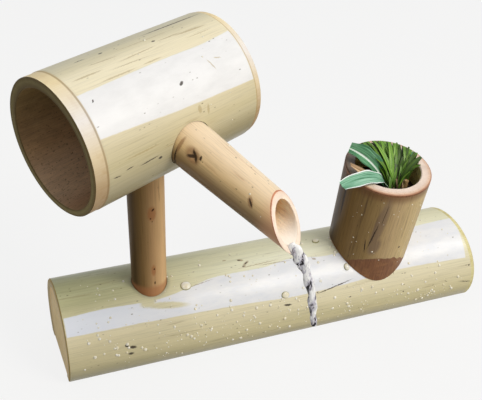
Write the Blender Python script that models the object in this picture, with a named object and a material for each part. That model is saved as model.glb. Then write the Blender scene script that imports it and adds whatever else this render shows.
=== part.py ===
"""Bamboo water spout: a hollow drum on a post over a planed base culm, with a spout and a planted cup.

Metres, +Z up. X runs along the base culm and -Y is the side that the spout pours towards.
The part stands on z = 0, and its origin is the middle of its box at that height.
"""
import math

import bmesh
import bpy
from mathutils import Matrix, Vector

# Clearances and facet counts
GAP = 0.0003
OVERRUN = 0.012
EDGE = 0.0005
CULM_SIDES = 64
POLE_SIDES = 48
SMALL_SIDES = 16
SHARP_EDGE = math.radians(35)

# Base culm: planed flat underneath, one node flush with its left end, right end sawn aslant
BASE_LENGTH = 0.300
BASE_LEFT_RADIUS = 0.0364
BASE_RIGHT_RADIUS = 0.0351
BASE_WALL = 0.0060
BASE_AXIS_HEIGHT = 0.0215
BASE_NODE_THICKNESS = 0.0060
BASE_SAW_TURN = math.radians(8.7)
BASE_SAW_LEAN = math.radians(3.1)

# Both uprights are bored on one line, a little in front of the crown
BORING_LINE_FORWARD = 0.0088
POST_FROM_LEFT_END = 0.0631
CUP_FROM_RIGHT_END = 0.0722

# Post culm: turns in the base, pegged to the drum
POST_FOOT_RADIUS = 0.0119
POST_TOP_RADIUS = 0.0124
POST_WALL = 0.0035
POST_BELOW_WALL = 0.0120
POST_INTO_DRUM = 0.0095
DRUM_AXIS_ABOVE_CROWN = 0.1284

# Bamboo pegs through the post's wall, under the base's wall and inside the drum
PEG_RADIUS = 0.0013
PEG_STANDS_OUT = 0.0045
PEG_STANDS_IN = 0.0004
HEAD_SWING = math.radians(30)

# Drum culm: open mouth on the left, node closing the far end
DRUM_TURN = math.radians(22.1)
DRUM_TILT = math.radians(4.3)
DRUM_LENGTH = 0.1273
DRUM_MOUTH_RADIUS = 0.0437
DRUM_FAR_RADIUS = 0.0419
DRUM_WALL = 0.0067
DRUM_NODE_THICKNESS = 0.0070
DRUM_MOUTH_TO_POST = 0.0657
DRUM_MOUTH_TO_SPOUT = 0.0679
SHAVED_BAND = 0.0091
SHAVED_FAR_BAND = 0.0050
SHAVED_DEPTH = 0.0004
FAR_EDGE_ROUND = 0.0030
ROUND_STEPS = 4

# Spout culm: square to the drum within a few degrees, mouth cut slantwise
SPOUT_TURN = math.radians(-87.0)
SPOUT_FALL = math.radians(13.4)
SPOUT_STANDING = 0.0802
SPOUT_ROOT_RADIUS = 0.0147
SPOUT_MOUTH_RADIUS = 0.01245
SPOUT_WALL = 0.0031
SPOUT_INSIDE_WALL = 0.0055
SPOUT_CUT_ANGLE = math.radians(46.0)
SPOUT_TWIST = math.radians(-19.0)

# Water line: barbed tail for the pump's hose, riser hose, rubber bung in the spout's root
HOSE_RADIUS = 0.0050
HOSE_BORE = 0.0040
HOSE_BEND = 0.0270
HOSE_STEPS = 18
TAIL_CLEAR_OF_GROUND = 0.0030
TAIL_LOWER_LENGTH = 0.0110
TAIL_UPPER_LENGTH = 0.0120
TAIL_FLANGE_RADIUS = 0.0064
TAIL_FLANGE_THICKNESS = 0.0020
TAIL_BORE = 0.0027
BUNG_LENGTH = 0.0140
BUNG_SET_IN = 0.0020
HOSE_PAST_BUNG = 0.0060

# Cup culm: foot coped to the base's round, node as its floor, leaning forward
CUP_LEAN_FORWARD = math.radians(9.8)
CUP_LEAN_RIGHT = math.radians(3.4)
CUP_HEIGHT = 0.0629
CUP_FOOT_RADIUS = 0.0287
CUP_RIM_RADIUS = 0.0302
CUP_WALL = 0.0073
CUP_NODE_ABOVE_CROWN = 0.0080
CUP_NODE_THICKNESS = 0.0070

# Wood screws from the base's hollow into the cup's floor
SCREW_SPACING = 0.0200
SCREW_SHANK_RADIUS = 0.0018
SCREW_HEAD_RADIUS = 0.0038
SCREW_HEAD_HEIGHT = 0.0022
SCREW_BITE = 0.0055
SPOT_FACE_DEPTH = 0.0012
SPOT_FACE_CLEAR = 0.0010

# Planting: a plug of mix that lifts out with its plants
MIX_BELOW_RIM = 0.0150
MIX_DOME = 0.0020
TUFT_RIGHT = 0.0050
TUFT_FORWARD = 0.0050
GRASS_RING_RADIUS = 0.0042
BROAD_RING_RADIUS = 0.0070
LEAF_STEPS = 8
LEAF_FOOT_SHARE = 0.30
LEAF_FULLEST_SHARE = 0.60

# Grass blades: heading in degrees, width, thickness, and the curve's three later control points as shares
# of the cup's bore radius, outward and upward
GRASS_WIDTH = 0.0026
GRASS_THICKNESS = 0.0007
GRASS_TIP_SHARE = 0.25
GRASS_SHARES = (
    (358, ((0.05, 0.45), (0.22, 0.68), (0.54, 0.74))),
    (26, ((0.05, 0.45), (0.26, 0.80), (0.68, 0.88))),
    (47, ((0.06, 0.50), (0.32, 0.90), (0.82, 0.98))),
    (68, ((0.06, 0.50), (0.38, 0.88), (0.98, 0.92))),
    (89, ((0.06, 0.50), (0.38, 0.85), (1.04, 0.90))),
    (110, ((0.05, 0.50), (0.40, 0.92), (1.06, 0.97))),
    (131, ((0.06, 0.45), (0.40, 0.78), (1.00, 0.86))),
    (300, ((0.02, 0.35), (0.08, 0.60), (0.18, 0.78))),
)

# Broad striped leaves: one lies over the rim on the left, one rises behind it
BROAD_WIDTH = 0.0105
BROAD_THICKNESS = 0.0009
BROAD_TIP_SHARE = 0.18
BROAD_SHARES = (
    ("striped_leaf_over_rim", 194, 1.00, ((0.15, 0.72), (0.75, 0.99), (1.38, 0.72))),
    ("striped_leaf_back", 153, 0.64, ((0.10, 0.58), (0.50, 0.98), (1.08, 0.90))),
)

# Cut stem of an older shoot beside the tuft
STEM_RADIUS = 0.0016
STEM_HEIGHT = 0.0085
STEM_HEADING = math.radians(328)
STEM_FROM_TUFT = 0.0075


def clear_scene():
    for item in list(bpy.data.objects):
        bpy.data.objects.remove(item, do_unlink=True)


def surface(name, rgb, roughness, metallic=0.0):
    """A plain Principled material in the piece's own colour."""
    made = bpy.data.materials.new(name)
    made.use_nodes = True
    shader = made.node_tree.nodes["Principled BSDF"]
    shader.inputs["Base Color"].default_value = (*rgb, 1.0)
    shader.inputs["Roughness"].default_value = roughness
    shader.inputs["Metallic"].default_value = metallic
    return made


def empty(name, parent, place):
    made = bpy.data.objects.new(name, None)
    bpy.context.collection.objects.link(made)
    made.parent = parent
    made.matrix_local = place
    return made


def body(name, shape, parent, place, look):
    """Links the shape as one smooth-shaded object under its parent."""
    bmesh.ops.recalc_face_normals(shape, faces=shape.faces)
    mesh = bpy.data.meshes.new(name)
    shape.to_mesh(mesh)
    shape.free()
    mesh.shade_smooth()
    mesh.set_sharp_from_angle(angle=SHARP_EDGE)
    made = bpy.data.objects.new(name, mesh)
    bpy.context.collection.objects.link(made)
    made.parent = parent
    made.matrix_local = place
    if look:
        mesh.materials.append(look)
    return made


def along(origin, direction):
    """A frame whose Z is the direction, X is level and Y is as near to up as it can be."""
    z_axis = direction.normalized()
    x_axis = z_axis.cross(Vector((0, 0, 1)))
    if not x_axis.length:
        x_axis = Vector((1, 0, 0))
    x_axis.normalize()
    y_axis = z_axis.cross(x_axis)
    if y_axis.z < 0:
        x_axis = -x_axis
        y_axis = -y_axis
    turned = Matrix((x_axis, y_axis, z_axis)).transposed().to_4x4()
    return Matrix.Translation(origin) @ turned


def heading(turn, climb=0.0):
    """The unit vector at an angle from +X towards +Y, climbing above level."""
    return Vector((math.cos(climb) * math.cos(turn), math.cos(climb) * math.sin(turn), math.sin(climb)))


def turned(profile, sides):
    """Turns a closed outline of (radius, height) about Z. Points on the axis become poles."""
    shape = bmesh.new()
    rings = []
    for radius, height in profile:
        if radius == 0:
            rings.append([shape.verts.new((0, 0, height))])
            continue
        ring = []
        for side in range(sides):
            angle = math.tau * side / sides
            ring.append(shape.verts.new((radius * math.cos(angle), radius * math.sin(angle), height)))
        rings.append(ring)
    for lower, upper in zip(rings, rings[1:] + rings[:1]):
        if len(lower) == 1 and len(upper) == 1:
            continue
        for side in range(sides):
            after = (side + 1) % sides
            corners = [lower[side % len(lower)], lower[after % len(lower)]]
            corners += [upper[after % len(upper)], upper[side % len(upper)]]
            shape.faces.new(list(dict.fromkeys(corners)))
    return shape


def rod_outline(radius, low, high):
    return [(0, low), (radius, low), (radius, high), (0, high)]


def tube_outline(low_radius, high_radius, wall, low, high):
    """A tapering tube with its outer edges eased."""
    return [
        (low_radius - EDGE, low),
        (low_radius, low + EDGE),
        (high_radius, high - EDGE),
        (high_radius - EDGE, high),
        (high_radius - wall, high),
        (low_radius - wall, low),
    ]


def swept_tube(points, outer, inner, sides):
    """A hose along a path of points, open at both ends."""
    shape = bmesh.new()
    side_axis = Vector((0, 1, 0))
    outside = []
    inside = []
    for index, point in enumerate(points):
        before = points[max(index - 1, 0)]
        after = points[min(index + 1, len(points) - 1)]
        run = (after - before).normalized()
        side_axis = (side_axis - run * side_axis.dot(run)).normalized()
        other_axis = run.cross(side_axis)
        for ring, radius in ((outside, outer), (inside, inner)):
            verts = []
            for side in range(sides):
                angle = math.tau * side / sides
                spoke = side_axis * math.cos(angle) + other_axis * math.sin(angle)
                verts.append(shape.verts.new(point + spoke * radius))
            ring.append(verts)
    loop = outside + inside[::-1]
    for lower, upper in zip(loop, loop[1:] + loop[:1]):
        for side in range(sides):
            after = (side + 1) % sides
            shape.faces.new((lower[side], lower[after], upper[after], upper[side]))
    return shape


def curve_point(controls, share):
    """A point on the cubic curve of four control points."""
    rest = 1 - share
    weights = (rest**3, 3 * rest**2 * share, 3 * rest * share**2, share**3)
    return sum((point * weight for point, weight in zip(controls, weights)), Vector((0, 0, 0)))


def leaf(controls, width, thickness, tip_share):
    """A blade with a shallow fold, full in its middle and narrow at its tip."""
    shape = bmesh.new()
    points = [curve_point(controls, step / LEAF_STEPS) for step in range(LEAF_STEPS + 1)]
    flat = Vector((controls[3].x - controls[0].x, controls[3].y - controls[0].y, 0)).normalized()
    across = Vector((-flat.y, flat.x, 0))
    rings = []
    for index, point in enumerate(points):
        share = index / LEAF_STEPS
        run = (points[min(index + 1, LEAF_STEPS)] - points[max(index - 1, 0)]).normalized()
        upward = across.cross(run) * -1
        if share < LEAF_FULLEST_SHARE:
            end_share = LEAF_FOOT_SHARE
            towards_end = 1 - share / LEAF_FULLEST_SHARE
        else:
            end_share = tip_share
            towards_end = (share - LEAF_FULLEST_SHARE) / (1 - LEAF_FULLEST_SHARE)
        fullness = 1 - (1 - end_share) * towards_end**2
        half = across * width * fullness / 2
        rise = upward * thickness / 2
        fold = upward * width * fullness / 8
        offsets = (-half + fold - rise, -rise, half + fold - rise, half + fold + rise, rise, -half + fold + rise)
        rings.append([shape.verts.new(point + offset) for offset in offsets])
    for lower, upper in zip(rings, rings[1:]):
        for side in range(len(lower)):
            after = (side + 1) % len(lower)
            shape.faces.new((lower[side], lower[after], upper[after], upper[side]))
    for ring in (rings[0], rings[-1]):
        shape.faces.new((ring[0], ring[1], ring[4], ring[5]))
        shape.faces.new((ring[1], ring[2], ring[3], ring[4]))
    return shape


def cut(target, cutter):
    """Takes the cutter's shape out of the target and keeps the cutter as a wire guide."""
    cutter.hide_render = True
    cutter.display_type = "WIRE"
    step = target.modifiers.new(cutter.name, "BOOLEAN")
    step.operation = "DIFFERENCE"
    step.solver = "EXACT"
    step.object = cutter


def bore(target, name, radius, low, high, parent, place, sides=POLE_SIDES):
    """Drills a round hole along the place's Z from low to high."""
    cut(target, body(name, turned(rod_outline(radius, low, high), sides), parent, place, None))


def saw(target, name, point, normal, parent):
    """Takes off all that lies past the plane."""
    shape = bmesh.new()
    bmesh.ops.create_cube(shape, size=BASE_LENGTH * 2)
    bmesh.ops.translate(shape, verts=shape.verts, vec=(0, 0, BASE_LENGTH))
    cut(target, body(name, shape, parent, along(point, normal), None))


def base_radius(from_left):
    return BASE_LEFT_RADIUS + (BASE_RIGHT_RADIUS - BASE_LEFT_RADIUS) * from_left / BASE_LENGTH


def skin_height(radius, forward):
    """The height of the round surface of this radius at a distance in front of the base's axis."""
    return BASE_AXIS_HEIGHT + math.sqrt(radius**2 - forward**2)


def drum_radius(from_mouth):
    return DRUM_MOUTH_RADIUS + (DRUM_FAR_RADIUS - DRUM_MOUTH_RADIUS) * from_mouth / DRUM_LENGTH


def cup_radius(above_crown):
    return CUP_FOOT_RADIUS + (CUP_RIM_RADIUS - CUP_FOOT_RADIUS) * above_crown / CUP_HEIGHT


# Places worked out from the sizes above
POST_X = POST_FROM_LEFT_END - BASE_LENGTH / 2
CUP_X = BASE_LENGTH / 2 - CUP_FROM_RIGHT_END
BASE_RADIUS_AT_POST = base_radius(POST_FROM_LEFT_END)
BASE_RADIUS_AT_CUP = base_radius(BASE_LENGTH - CUP_FROM_RIGHT_END)
CROWN_HEIGHT = BASE_AXIS_HEIGHT + BASE_LEFT_RADIUS
POST_HOLE_HEIGHT = skin_height(BASE_RADIUS_AT_POST, BORING_LINE_FORWARD)
POST_WALL_UNDERSIDE = skin_height(BASE_RADIUS_AT_POST - BASE_WALL, BORING_LINE_FORWARD)
POST_LOW = POST_WALL_UNDERSIDE - POST_BELOW_WALL
DRUM_AXIS_HEIGHT = CROWN_HEIGHT + DRUM_AXIS_ABOVE_CROWN
DRUM_UNDERSIDE = DRUM_AXIS_HEIGHT - drum_radius(DRUM_MOUTH_TO_POST)
POST_HIGH = DRUM_UNDERSIDE + DRUM_WALL + POST_INTO_DRUM
DRUM_HEADING = heading(DRUM_TURN, DRUM_TILT)
SPOUT_HEADING = heading(DRUM_TURN + SPOUT_TURN, -SPOUT_FALL)
SPOUT_ORIGIN = Vector((0, 0, DRUM_AXIS_HEIGHT)) + DRUM_HEADING * (DRUM_MOUTH_TO_SPOUT - DRUM_MOUTH_TO_POST)
DRUM_RADIUS_AT_SPOUT = drum_radius(DRUM_MOUTH_TO_SPOUT)
SPOUT_LOW = DRUM_RADIUS_AT_SPOUT - DRUM_WALL - SPOUT_INSIDE_WALL
SPOUT_MIDDLE_OF_MOUTH = DRUM_RADIUS_AT_SPOUT + SPOUT_STANDING
BUNG_LOW = SPOUT_LOW + BUNG_SET_IN
BUNG_HIGH = BUNG_LOW + BUNG_LENGTH
TAIL_FLANGE_LOW = TAIL_CLEAR_OF_GROUND + TAIL_LOWER_LENGTH
HOSE_LOW = TAIL_FLANGE_LOW + TAIL_FLANGE_THICKNESS + GAP
CUP_FLOOR = CUP_NODE_ABOVE_CROWN + CUP_NODE_THICKNESS
MIX_TOP = CUP_HEIGHT - MIX_BELOW_RIM


def base_culm(parent, look):
    """The base runs along X from its flush node to its slanting saw cut."""
    long_end = BASE_LENGTH + OVERRUN
    end_radius = base_radius(long_end)
    outline = [
        (0, 0),
        (BASE_LEFT_RADIUS - EDGE, 0),
        (BASE_LEFT_RADIUS, EDGE),
        (end_radius, long_end),
        (end_radius - BASE_WALL, long_end),
        (BASE_LEFT_RADIUS - BASE_WALL, BASE_NODE_THICKNESS),
        (0, BASE_NODE_THICKNESS),
    ]
    left_end = Vector((-BASE_LENGTH / 2, 0, BASE_AXIS_HEIGHT))
    right_end = Vector((BASE_LENGTH / 2, 0, BASE_AXIS_HEIGHT))
    culm = body("base_culm", turned(outline, CULM_SIDES), parent, along(left_end, Vector((1, 0, 0))), look)
    saw(culm, "planed_underside", Vector((0, 0, 0)), Vector((0, 0, -1)), parent)
    saw(culm, "slanting_saw_cut", right_end, heading(BASE_SAW_TURN, BASE_SAW_LEAN), parent)
    return culm


def post_culm(parent, look):
    """The post is straight where it turns in the base and in the drum, and tapers between them."""
    outline = [
        (POST_FOOT_RADIUS - EDGE, POST_LOW),
        (POST_FOOT_RADIUS, POST_LOW + EDGE),
        (POST_FOOT_RADIUS, POST_HOLE_HEIGHT),
        (POST_TOP_RADIUS, DRUM_UNDERSIDE),
        (POST_TOP_RADIUS, POST_HIGH - EDGE),
        (POST_TOP_RADIUS - EDGE, POST_HIGH),
        (POST_TOP_RADIUS - POST_WALL, POST_HIGH),
        (POST_FOOT_RADIUS - POST_WALL, POST_LOW),
    ]
    return body("post_culm", turned(outline, POLE_SIDES), parent, Matrix.Identity(4), look)


def pegs(culm, names, radius, wall, height, turn, parent, look):
    """Two bamboo pegs in one drilling across the post, each through its own wall only."""
    length = radius + PEG_STANDS_OUT
    for name, side in zip(names, (turn, turn + math.pi)):
        place = along(Vector((0, 0, height)), heading(side))
        outline = rod_outline(PEG_RADIUS, radius - wall - PEG_STANDS_IN, length)
        body(name, turned(outline, SMALL_SIDES), parent, place, look)
        bore(culm, name + "_hole", PEG_RADIUS + GAP, 0, length, parent, place, SMALL_SIDES)


def drum_culm(parent, look):
    """The drum's Z runs from the middle of its mouth to the node at its far end."""
    shaved_radius = drum_radius(0) - SHAVED_DEPTH
    far_shaved_radius = DRUM_FAR_RADIUS - SHAVED_DEPTH
    outline = [
        (shaved_radius - EDGE, 0),
        (shaved_radius, EDGE),
        (shaved_radius, SHAVED_BAND),
        (drum_radius(SHAVED_BAND + EDGE), SHAVED_BAND + EDGE),
        (drum_radius(DRUM_LENGTH - SHAVED_FAR_BAND - EDGE), DRUM_LENGTH - SHAVED_FAR_BAND - EDGE),
        (far_shaved_radius, DRUM_LENGTH - SHAVED_FAR_BAND),
    ]
    for step in range(ROUND_STEPS + 1):
        angle = math.pi / 2 * step / ROUND_STEPS
        radius = far_shaved_radius - FAR_EDGE_ROUND * (1 - math.cos(angle))
        outline.append((radius, DRUM_LENGTH - FAR_EDGE_ROUND * (1 - math.sin(angle))))
    outline += [
        (0, DRUM_LENGTH),
        (0, DRUM_LENGTH - DRUM_NODE_THICKNESS),
        (DRUM_FAR_RADIUS - DRUM_WALL, DRUM_LENGTH - DRUM_NODE_THICKNESS),
        (shaved_radius - DRUM_WALL, 0),
    ]
    mouth = Vector((0, 0, DRUM_AXIS_HEIGHT)) - DRUM_HEADING * DRUM_MOUTH_TO_POST
    return body("drum_culm", turned(outline, CULM_SIDES), parent, along(mouth, DRUM_HEADING), look)


def spout_culm(parent, look):
    """The spout's Z starts on the drum's axis. It is straight in the drum's wall and tapers to its mouth."""
    shoulder = DRUM_RADIUS_AT_SPOUT + SPOUT_ROOT_RADIUS / 2
    half_slant = SPOUT_MOUTH_RADIUS * math.tan(SPOUT_CUT_ANGLE)
    long_end = SPOUT_MIDDLE_OF_MOUTH + half_slant + OVERRUN
    taper = (SPOUT_MOUTH_RADIUS - SPOUT_ROOT_RADIUS) / (SPOUT_MIDDLE_OF_MOUTH - shoulder)
    end_radius = SPOUT_ROOT_RADIUS + taper * (long_end - shoulder)
    outline = [
        (SPOUT_ROOT_RADIUS - EDGE, SPOUT_LOW),
        (SPOUT_ROOT_RADIUS, SPOUT_LOW + EDGE),
        (SPOUT_ROOT_RADIUS, shoulder),
        (end_radius, long_end),
        (end_radius - SPOUT_WALL, long_end),
        (SPOUT_ROOT_RADIUS - SPOUT_WALL, shoulder),
        (SPOUT_ROOT_RADIUS - SPOUT_WALL, SPOUT_LOW),
    ]
    culm = body("spout_culm", turned(outline, POLE_SIDES), parent, Matrix.Identity(4), look)
    tilt = Vector((math.sin(-SPOUT_TWIST), math.cos(SPOUT_TWIST), 0)) * math.sin(SPOUT_CUT_ANGLE)
    normal = tilt + Vector((0, 0, math.cos(SPOUT_CUT_ANGLE)))
    saw(culm, "slanting_mouth_cut", Vector((0, 0, SPOUT_MIDDLE_OF_MOUTH)), normal, parent)
    return culm


def water_line(head, spout, rubber, clear_hose, plastic):
    """Tail, riser hose and bung share the post's axis, then the spout's, so both can turn about them."""
    stub_radius = HOSE_BORE - GAP
    outline = [
        (stub_radius, TAIL_CLEAR_OF_GROUND),
        (stub_radius, TAIL_FLANGE_LOW),
        (TAIL_FLANGE_RADIUS, TAIL_FLANGE_LOW),
        (TAIL_FLANGE_RADIUS, TAIL_FLANGE_LOW + TAIL_FLANGE_THICKNESS),
        (stub_radius, TAIL_FLANGE_LOW + TAIL_FLANGE_THICKNESS),
        (stub_radius, HOSE_LOW + TAIL_UPPER_LENGTH),
        (TAIL_BORE, HOSE_LOW + TAIL_UPPER_LENGTH),
        (TAIL_BORE, TAIL_CLEAR_OF_GROUND),
    ]
    body("pump_hose_tail", turned(outline, SMALL_SIDES * 2), head, Matrix.Identity(4), plastic)
    bend_start = Vector((0, 0, SPOUT_ORIGIN.z - HOSE_BEND))
    bend_end = SPOUT_ORIGIN + SPOUT_HEADING * HOSE_BEND
    controls = (bend_start, Vector((0, 0, SPOUT_ORIGIN.z)), SPOUT_ORIGIN, bend_end)
    path = [Vector((0, 0, HOSE_LOW))]
    path += [curve_point(controls, step / HOSE_STEPS) for step in range(HOSE_STEPS + 1)]
    path.append(SPOUT_ORIGIN + SPOUT_HEADING * (BUNG_HIGH + HOSE_PAST_BUNG))
    hose = swept_tube(path, HOSE_RADIUS, HOSE_BORE, SMALL_SIDES)
    body("riser_hose", hose, head, Matrix.Identity(4), clear_hose)
    bung_outer = SPOUT_ROOT_RADIUS - SPOUT_WALL - GAP
    bung_wall = bung_outer - HOSE_RADIUS - GAP
    bung = tube_outline(bung_outer, bung_outer, bung_wall, BUNG_LOW, BUNG_HIGH)
    body("spout_bung", turned(bung, POLE_SIDES), spout, Matrix.Identity(4), rubber)


def cup_culm(parent, look, base_frame):
    """The cup's Z starts at crown height. The node is its floor and the skirt under it is coped to the base."""
    skirt = CUP_FOOT_RADIUS + BASE_WALL
    outline = [
        (cup_radius(-skirt), -skirt),
        (CUP_RIM_RADIUS, CUP_HEIGHT - EDGE),
        (CUP_RIM_RADIUS - EDGE, CUP_HEIGHT),
        (CUP_RIM_RADIUS - CUP_WALL, CUP_HEIGHT),
        (cup_radius(CUP_FLOOR) - CUP_WALL, CUP_FLOOR),
        (0, CUP_FLOOR),
        (0, CUP_NODE_ABOVE_CROWN),
        (cup_radius(CUP_NODE_ABOVE_CROWN) - CUP_WALL, CUP_NODE_ABOVE_CROWN),
        (cup_radius(-skirt) - CUP_WALL, -skirt),
    ]
    culm = body("cup_culm", turned(outline, CULM_SIDES), parent, Matrix.Identity(4), look)
    left_end = Vector((-BASE_LENGTH / 2, 0, BASE_AXIS_HEIGHT))
    cope = [
        (0, 0),
        (BASE_LEFT_RADIUS + GAP, 0),
        (BASE_RIGHT_RADIUS + GAP, BASE_LENGTH),
        (0, BASE_LENGTH),
    ]
    coping = body("coping_round", turned(cope, CULM_SIDES), base_frame, along(left_end, Vector((1, 0, 0))), None)
    cut(culm, coping)
    return culm


def cup_screws(base, cup, parent, look):
    """Two screws along the cup's axis, their heads on spot faces in the base's hollow."""
    lean = math.cos(CUP_LEAN_FORWARD)
    underside = skin_height(BASE_RADIUS_AT_CUP - BASE_WALL, BORING_LINE_FORWARD)
    seat = (underside - CROWN_HEIGHT) / lean + SPOT_FACE_DEPTH
    tip = CUP_NODE_ABOVE_CROWN + SCREW_BITE
    for name, side in (("cup_screw_left", -1), ("cup_screw_right", 1)):
        place = Matrix.Translation((side * SCREW_SPACING / 2, 0, 0))
        outline = [
            (0, seat - GAP - SCREW_HEAD_HEIGHT),
            (SCREW_HEAD_RADIUS - EDGE, seat - GAP - SCREW_HEAD_HEIGHT),
            (SCREW_HEAD_RADIUS, seat - GAP - SCREW_HEAD_HEIGHT + EDGE),
            (SCREW_HEAD_RADIUS, seat - GAP),
            (SCREW_SHANK_RADIUS, seat - GAP),
            (SCREW_SHANK_RADIUS, tip - SCREW_SHANK_RADIUS),
            (0, tip),
        ]
        body(name, turned(outline, SMALL_SIDES), parent, place, look)
        hole = SCREW_SHANK_RADIUS + GAP
        face = SCREW_HEAD_RADIUS + SPOT_FACE_CLEAR
        stepped = [
            (0, seat - BASE_WALL),
            (face, seat - BASE_WALL),
            (face, seat),
            (hole, seat),
            (hole, CUP_NODE_ABOVE_CROWN),
            (0, CUP_NODE_ABOVE_CROWN),
        ]
        cut(base, body(name + "_stepped_hole", turned(stepped, SMALL_SIDES), parent, place, None))
        bore(cup, name + "_pilot", hole, seat, tip + GAP, parent, place, SMALL_SIDES)


def planting(parent, soil, grass, striped, stem):
    """The plug of mix and all that grows in it, which lift out along the cup's axis."""
    floor = CUP_FLOOR + GAP
    edge_top = MIX_TOP - MIX_DOME
    outline = [
        (0, floor),
        (cup_radius(floor) - CUP_WALL - GAP, floor),
        (cup_radius(edge_top) - CUP_WALL - GAP, edge_top),
        (cup_radius(edge_top) / 2, MIX_TOP),
        (0, MIX_TOP),
    ]
    body("planting_mix", turned(outline, POLE_SIDES), parent, Matrix.Identity(4), soil)
    unit = CUP_RIM_RADIUS - CUP_WALL
    tuft = Vector((TUFT_RIGHT, -TUFT_FORWARD, MIX_TOP + GAP))

    def controls(turn, ring_radius, shares):
        outward = heading(turn)
        foot = tuft + outward * ring_radius
        foot.z += GRASS_THICKNESS
        later = [foot + outward * unit * out + Vector((0, 0, unit * up)) for out, up in shares]
        return [foot] + later

    for number, (degrees, shares) in enumerate(GRASS_SHARES, start=1):
        points = controls(math.radians(degrees), GRASS_RING_RADIUS, shares)
        blade = leaf(points, GRASS_WIDTH, GRASS_THICKNESS, GRASS_TIP_SHARE)
        body(f"grass_blade_{number}", blade, parent, Matrix.Identity(4), grass)
    for name, degrees, width_share, shares in BROAD_SHARES:
        points = controls(math.radians(degrees), BROAD_RING_RADIUS, shares)
        blade = leaf(points, BROAD_WIDTH * width_share, BROAD_THICKNESS, BROAD_TIP_SHARE)
        body(name, blade, parent, Matrix.Identity(4), striped)
    stem_place = Matrix.Translation(tuft + heading(STEM_HEADING) * STEM_FROM_TUFT)
    body("cut_stem", turned(rod_outline(STEM_RADIUS, 0, STEM_HEIGHT), SMALL_SIDES), parent, stem_place, stem)


def stand_on_footprint(root):
    """Moves the whole part so that its box is centred on the origin."""
    bpy.context.view_layer.update()
    graph = bpy.context.evaluated_depsgraph_get()
    corners = []
    for item in bpy.data.objects:
        if item.type != "MESH" or item.hide_render:
            continue
        seen = item.evaluated_get(graph)
        corners += [seen.matrix_world @ vert.co for vert in seen.data.vertices]
    middle_x = (min(point.x for point in corners) + max(point.x for point in corners)) / 2
    middle_y = (min(point.y for point in corners) + max(point.y for point in corners)) / 2
    root.location = (-middle_x, -middle_y, 0)
    bpy.context.view_layer.update()


def build():
    clear_scene()
    weathered_tan = surface("weathered_tan_culm", (0.62, 0.55, 0.33), 0.45)
    green_tan = surface("green_tan_culm", (0.66, 0.63, 0.38), 0.40)
    peach = surface("peach_culm", (0.66, 0.45, 0.24), 0.45)
    brown = surface("brown_culm", (0.36, 0.24, 0.12), 0.50)
    cane = surface("peg_cane", (0.70, 0.55, 0.30), 0.60)
    rubber = surface("black_rubber", (0.03, 0.03, 0.03), 0.80)
    clear_hose = surface("clear_hose", (0.75, 0.78, 0.76), 0.25)
    plastic = surface("black_plastic", (0.04, 0.04, 0.04), 0.45)
    steel = surface("plated_steel", (0.60, 0.60, 0.58), 0.30, 1.0)
    soil = surface("planting_mix", (0.07, 0.05, 0.03), 0.95)
    grass = surface("grass_green", (0.12, 0.30, 0.06), 0.50)
    striped = surface("striped_leaf", (0.25, 0.45, 0.32), 0.45)
    stem = surface("brown_stem", (0.40, 0.28, 0.18), 0.80)

    root = empty("part_origin", None, Matrix.Identity(4))
    head_place = Matrix.Translation((POST_X, -BORING_LINE_FORWARD, 0))
    head = empty("head_swivel", root, head_place)
    spout = empty("spout_twist", head, along(SPOUT_ORIGIN, SPOUT_HEADING))
    cup_place = Vector((CUP_X, -BORING_LINE_FORWARD, CROWN_HEIGHT))
    lean = Vector((math.tan(CUP_LEAN_RIGHT), -math.tan(CUP_LEAN_FORWARD), 1))
    upright = lean.normalized()
    level = Vector((1, 0, 0)) - upright * upright.x
    level.normalize()
    cup_axes = Matrix((level, upright.cross(level), upright)).transposed().to_4x4()
    cup_frame = empty("planting_lift", root, Matrix.Translation(cup_place) @ cup_axes)

    base = base_culm(root, weathered_tan)
    post = post_culm(head, peach)
    bore(base, "post_hole", POST_FOOT_RADIUS + GAP, BASE_AXIS_HEIGHT, CROWN_HEIGHT + OVERRUN, head, Matrix.Identity(4))
    peg_reach = POST_FOOT_RADIUS + PEG_STANDS_OUT
    swung_forward = BORING_LINE_FORWARD + peg_reach * math.sin(HEAD_SWING) + PEG_RADIUS
    peg_room = skin_height(BASE_RADIUS_AT_POST - BASE_WALL, swung_forward) - GAP * 2 - PEG_RADIUS
    stop_pegs = ("stop_peg_right", "stop_peg_left")
    pegs(post, stop_pegs, POST_FOOT_RADIUS, POST_WALL, peg_room, 0, head, cane)
    drum = drum_culm(head, green_tan)
    drum_hole = POST_TOP_RADIUS + GAP
    bore(drum, "drum_post_hole", drum_hole, DRUM_UNDERSIDE - OVERRUN, POST_HIGH, head, Matrix.Identity(4))
    climb = (POST_TOP_RADIUS + PEG_STANDS_OUT) * math.tan(DRUM_TILT)
    drum_peg_height = DRUM_UNDERSIDE + DRUM_WALL + climb + PEG_RADIUS + GAP * 2
    drum_pegs = ("drum_peg_far", "drum_peg_near")
    pegs(post, drum_pegs, POST_TOP_RADIUS, POST_WALL, drum_peg_height, DRUM_TURN, head, cane)
    spout_culm(spout, peach)
    spout_hole = SPOUT_ROOT_RADIUS + GAP
    bore(drum, "spout_hole", spout_hole, SPOUT_LOW, DRUM_RADIUS_AT_SPOUT + OVERRUN, spout, Matrix.Identity(4))
    water_line(head, spout, rubber, clear_hose, plastic)
    cup = cup_culm(cup_frame, brown, root)
    cup_screws(base, cup, cup_frame, steel)
    planting(cup_frame, soil, grass, striped, stem)
    stand_on_footprint(root)


build()
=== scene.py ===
"""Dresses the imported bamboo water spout: skins, cut ends, plants, water and light.

Metres, +Z up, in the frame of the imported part. Each culm is made along its own Z and then put in place, and
every vertex keeps its place on its culm, in millimetres, for the materials to read.
"""
import math
import random

import bmesh
import bpy
from mathutils import Matrix, Vector, noise


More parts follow.
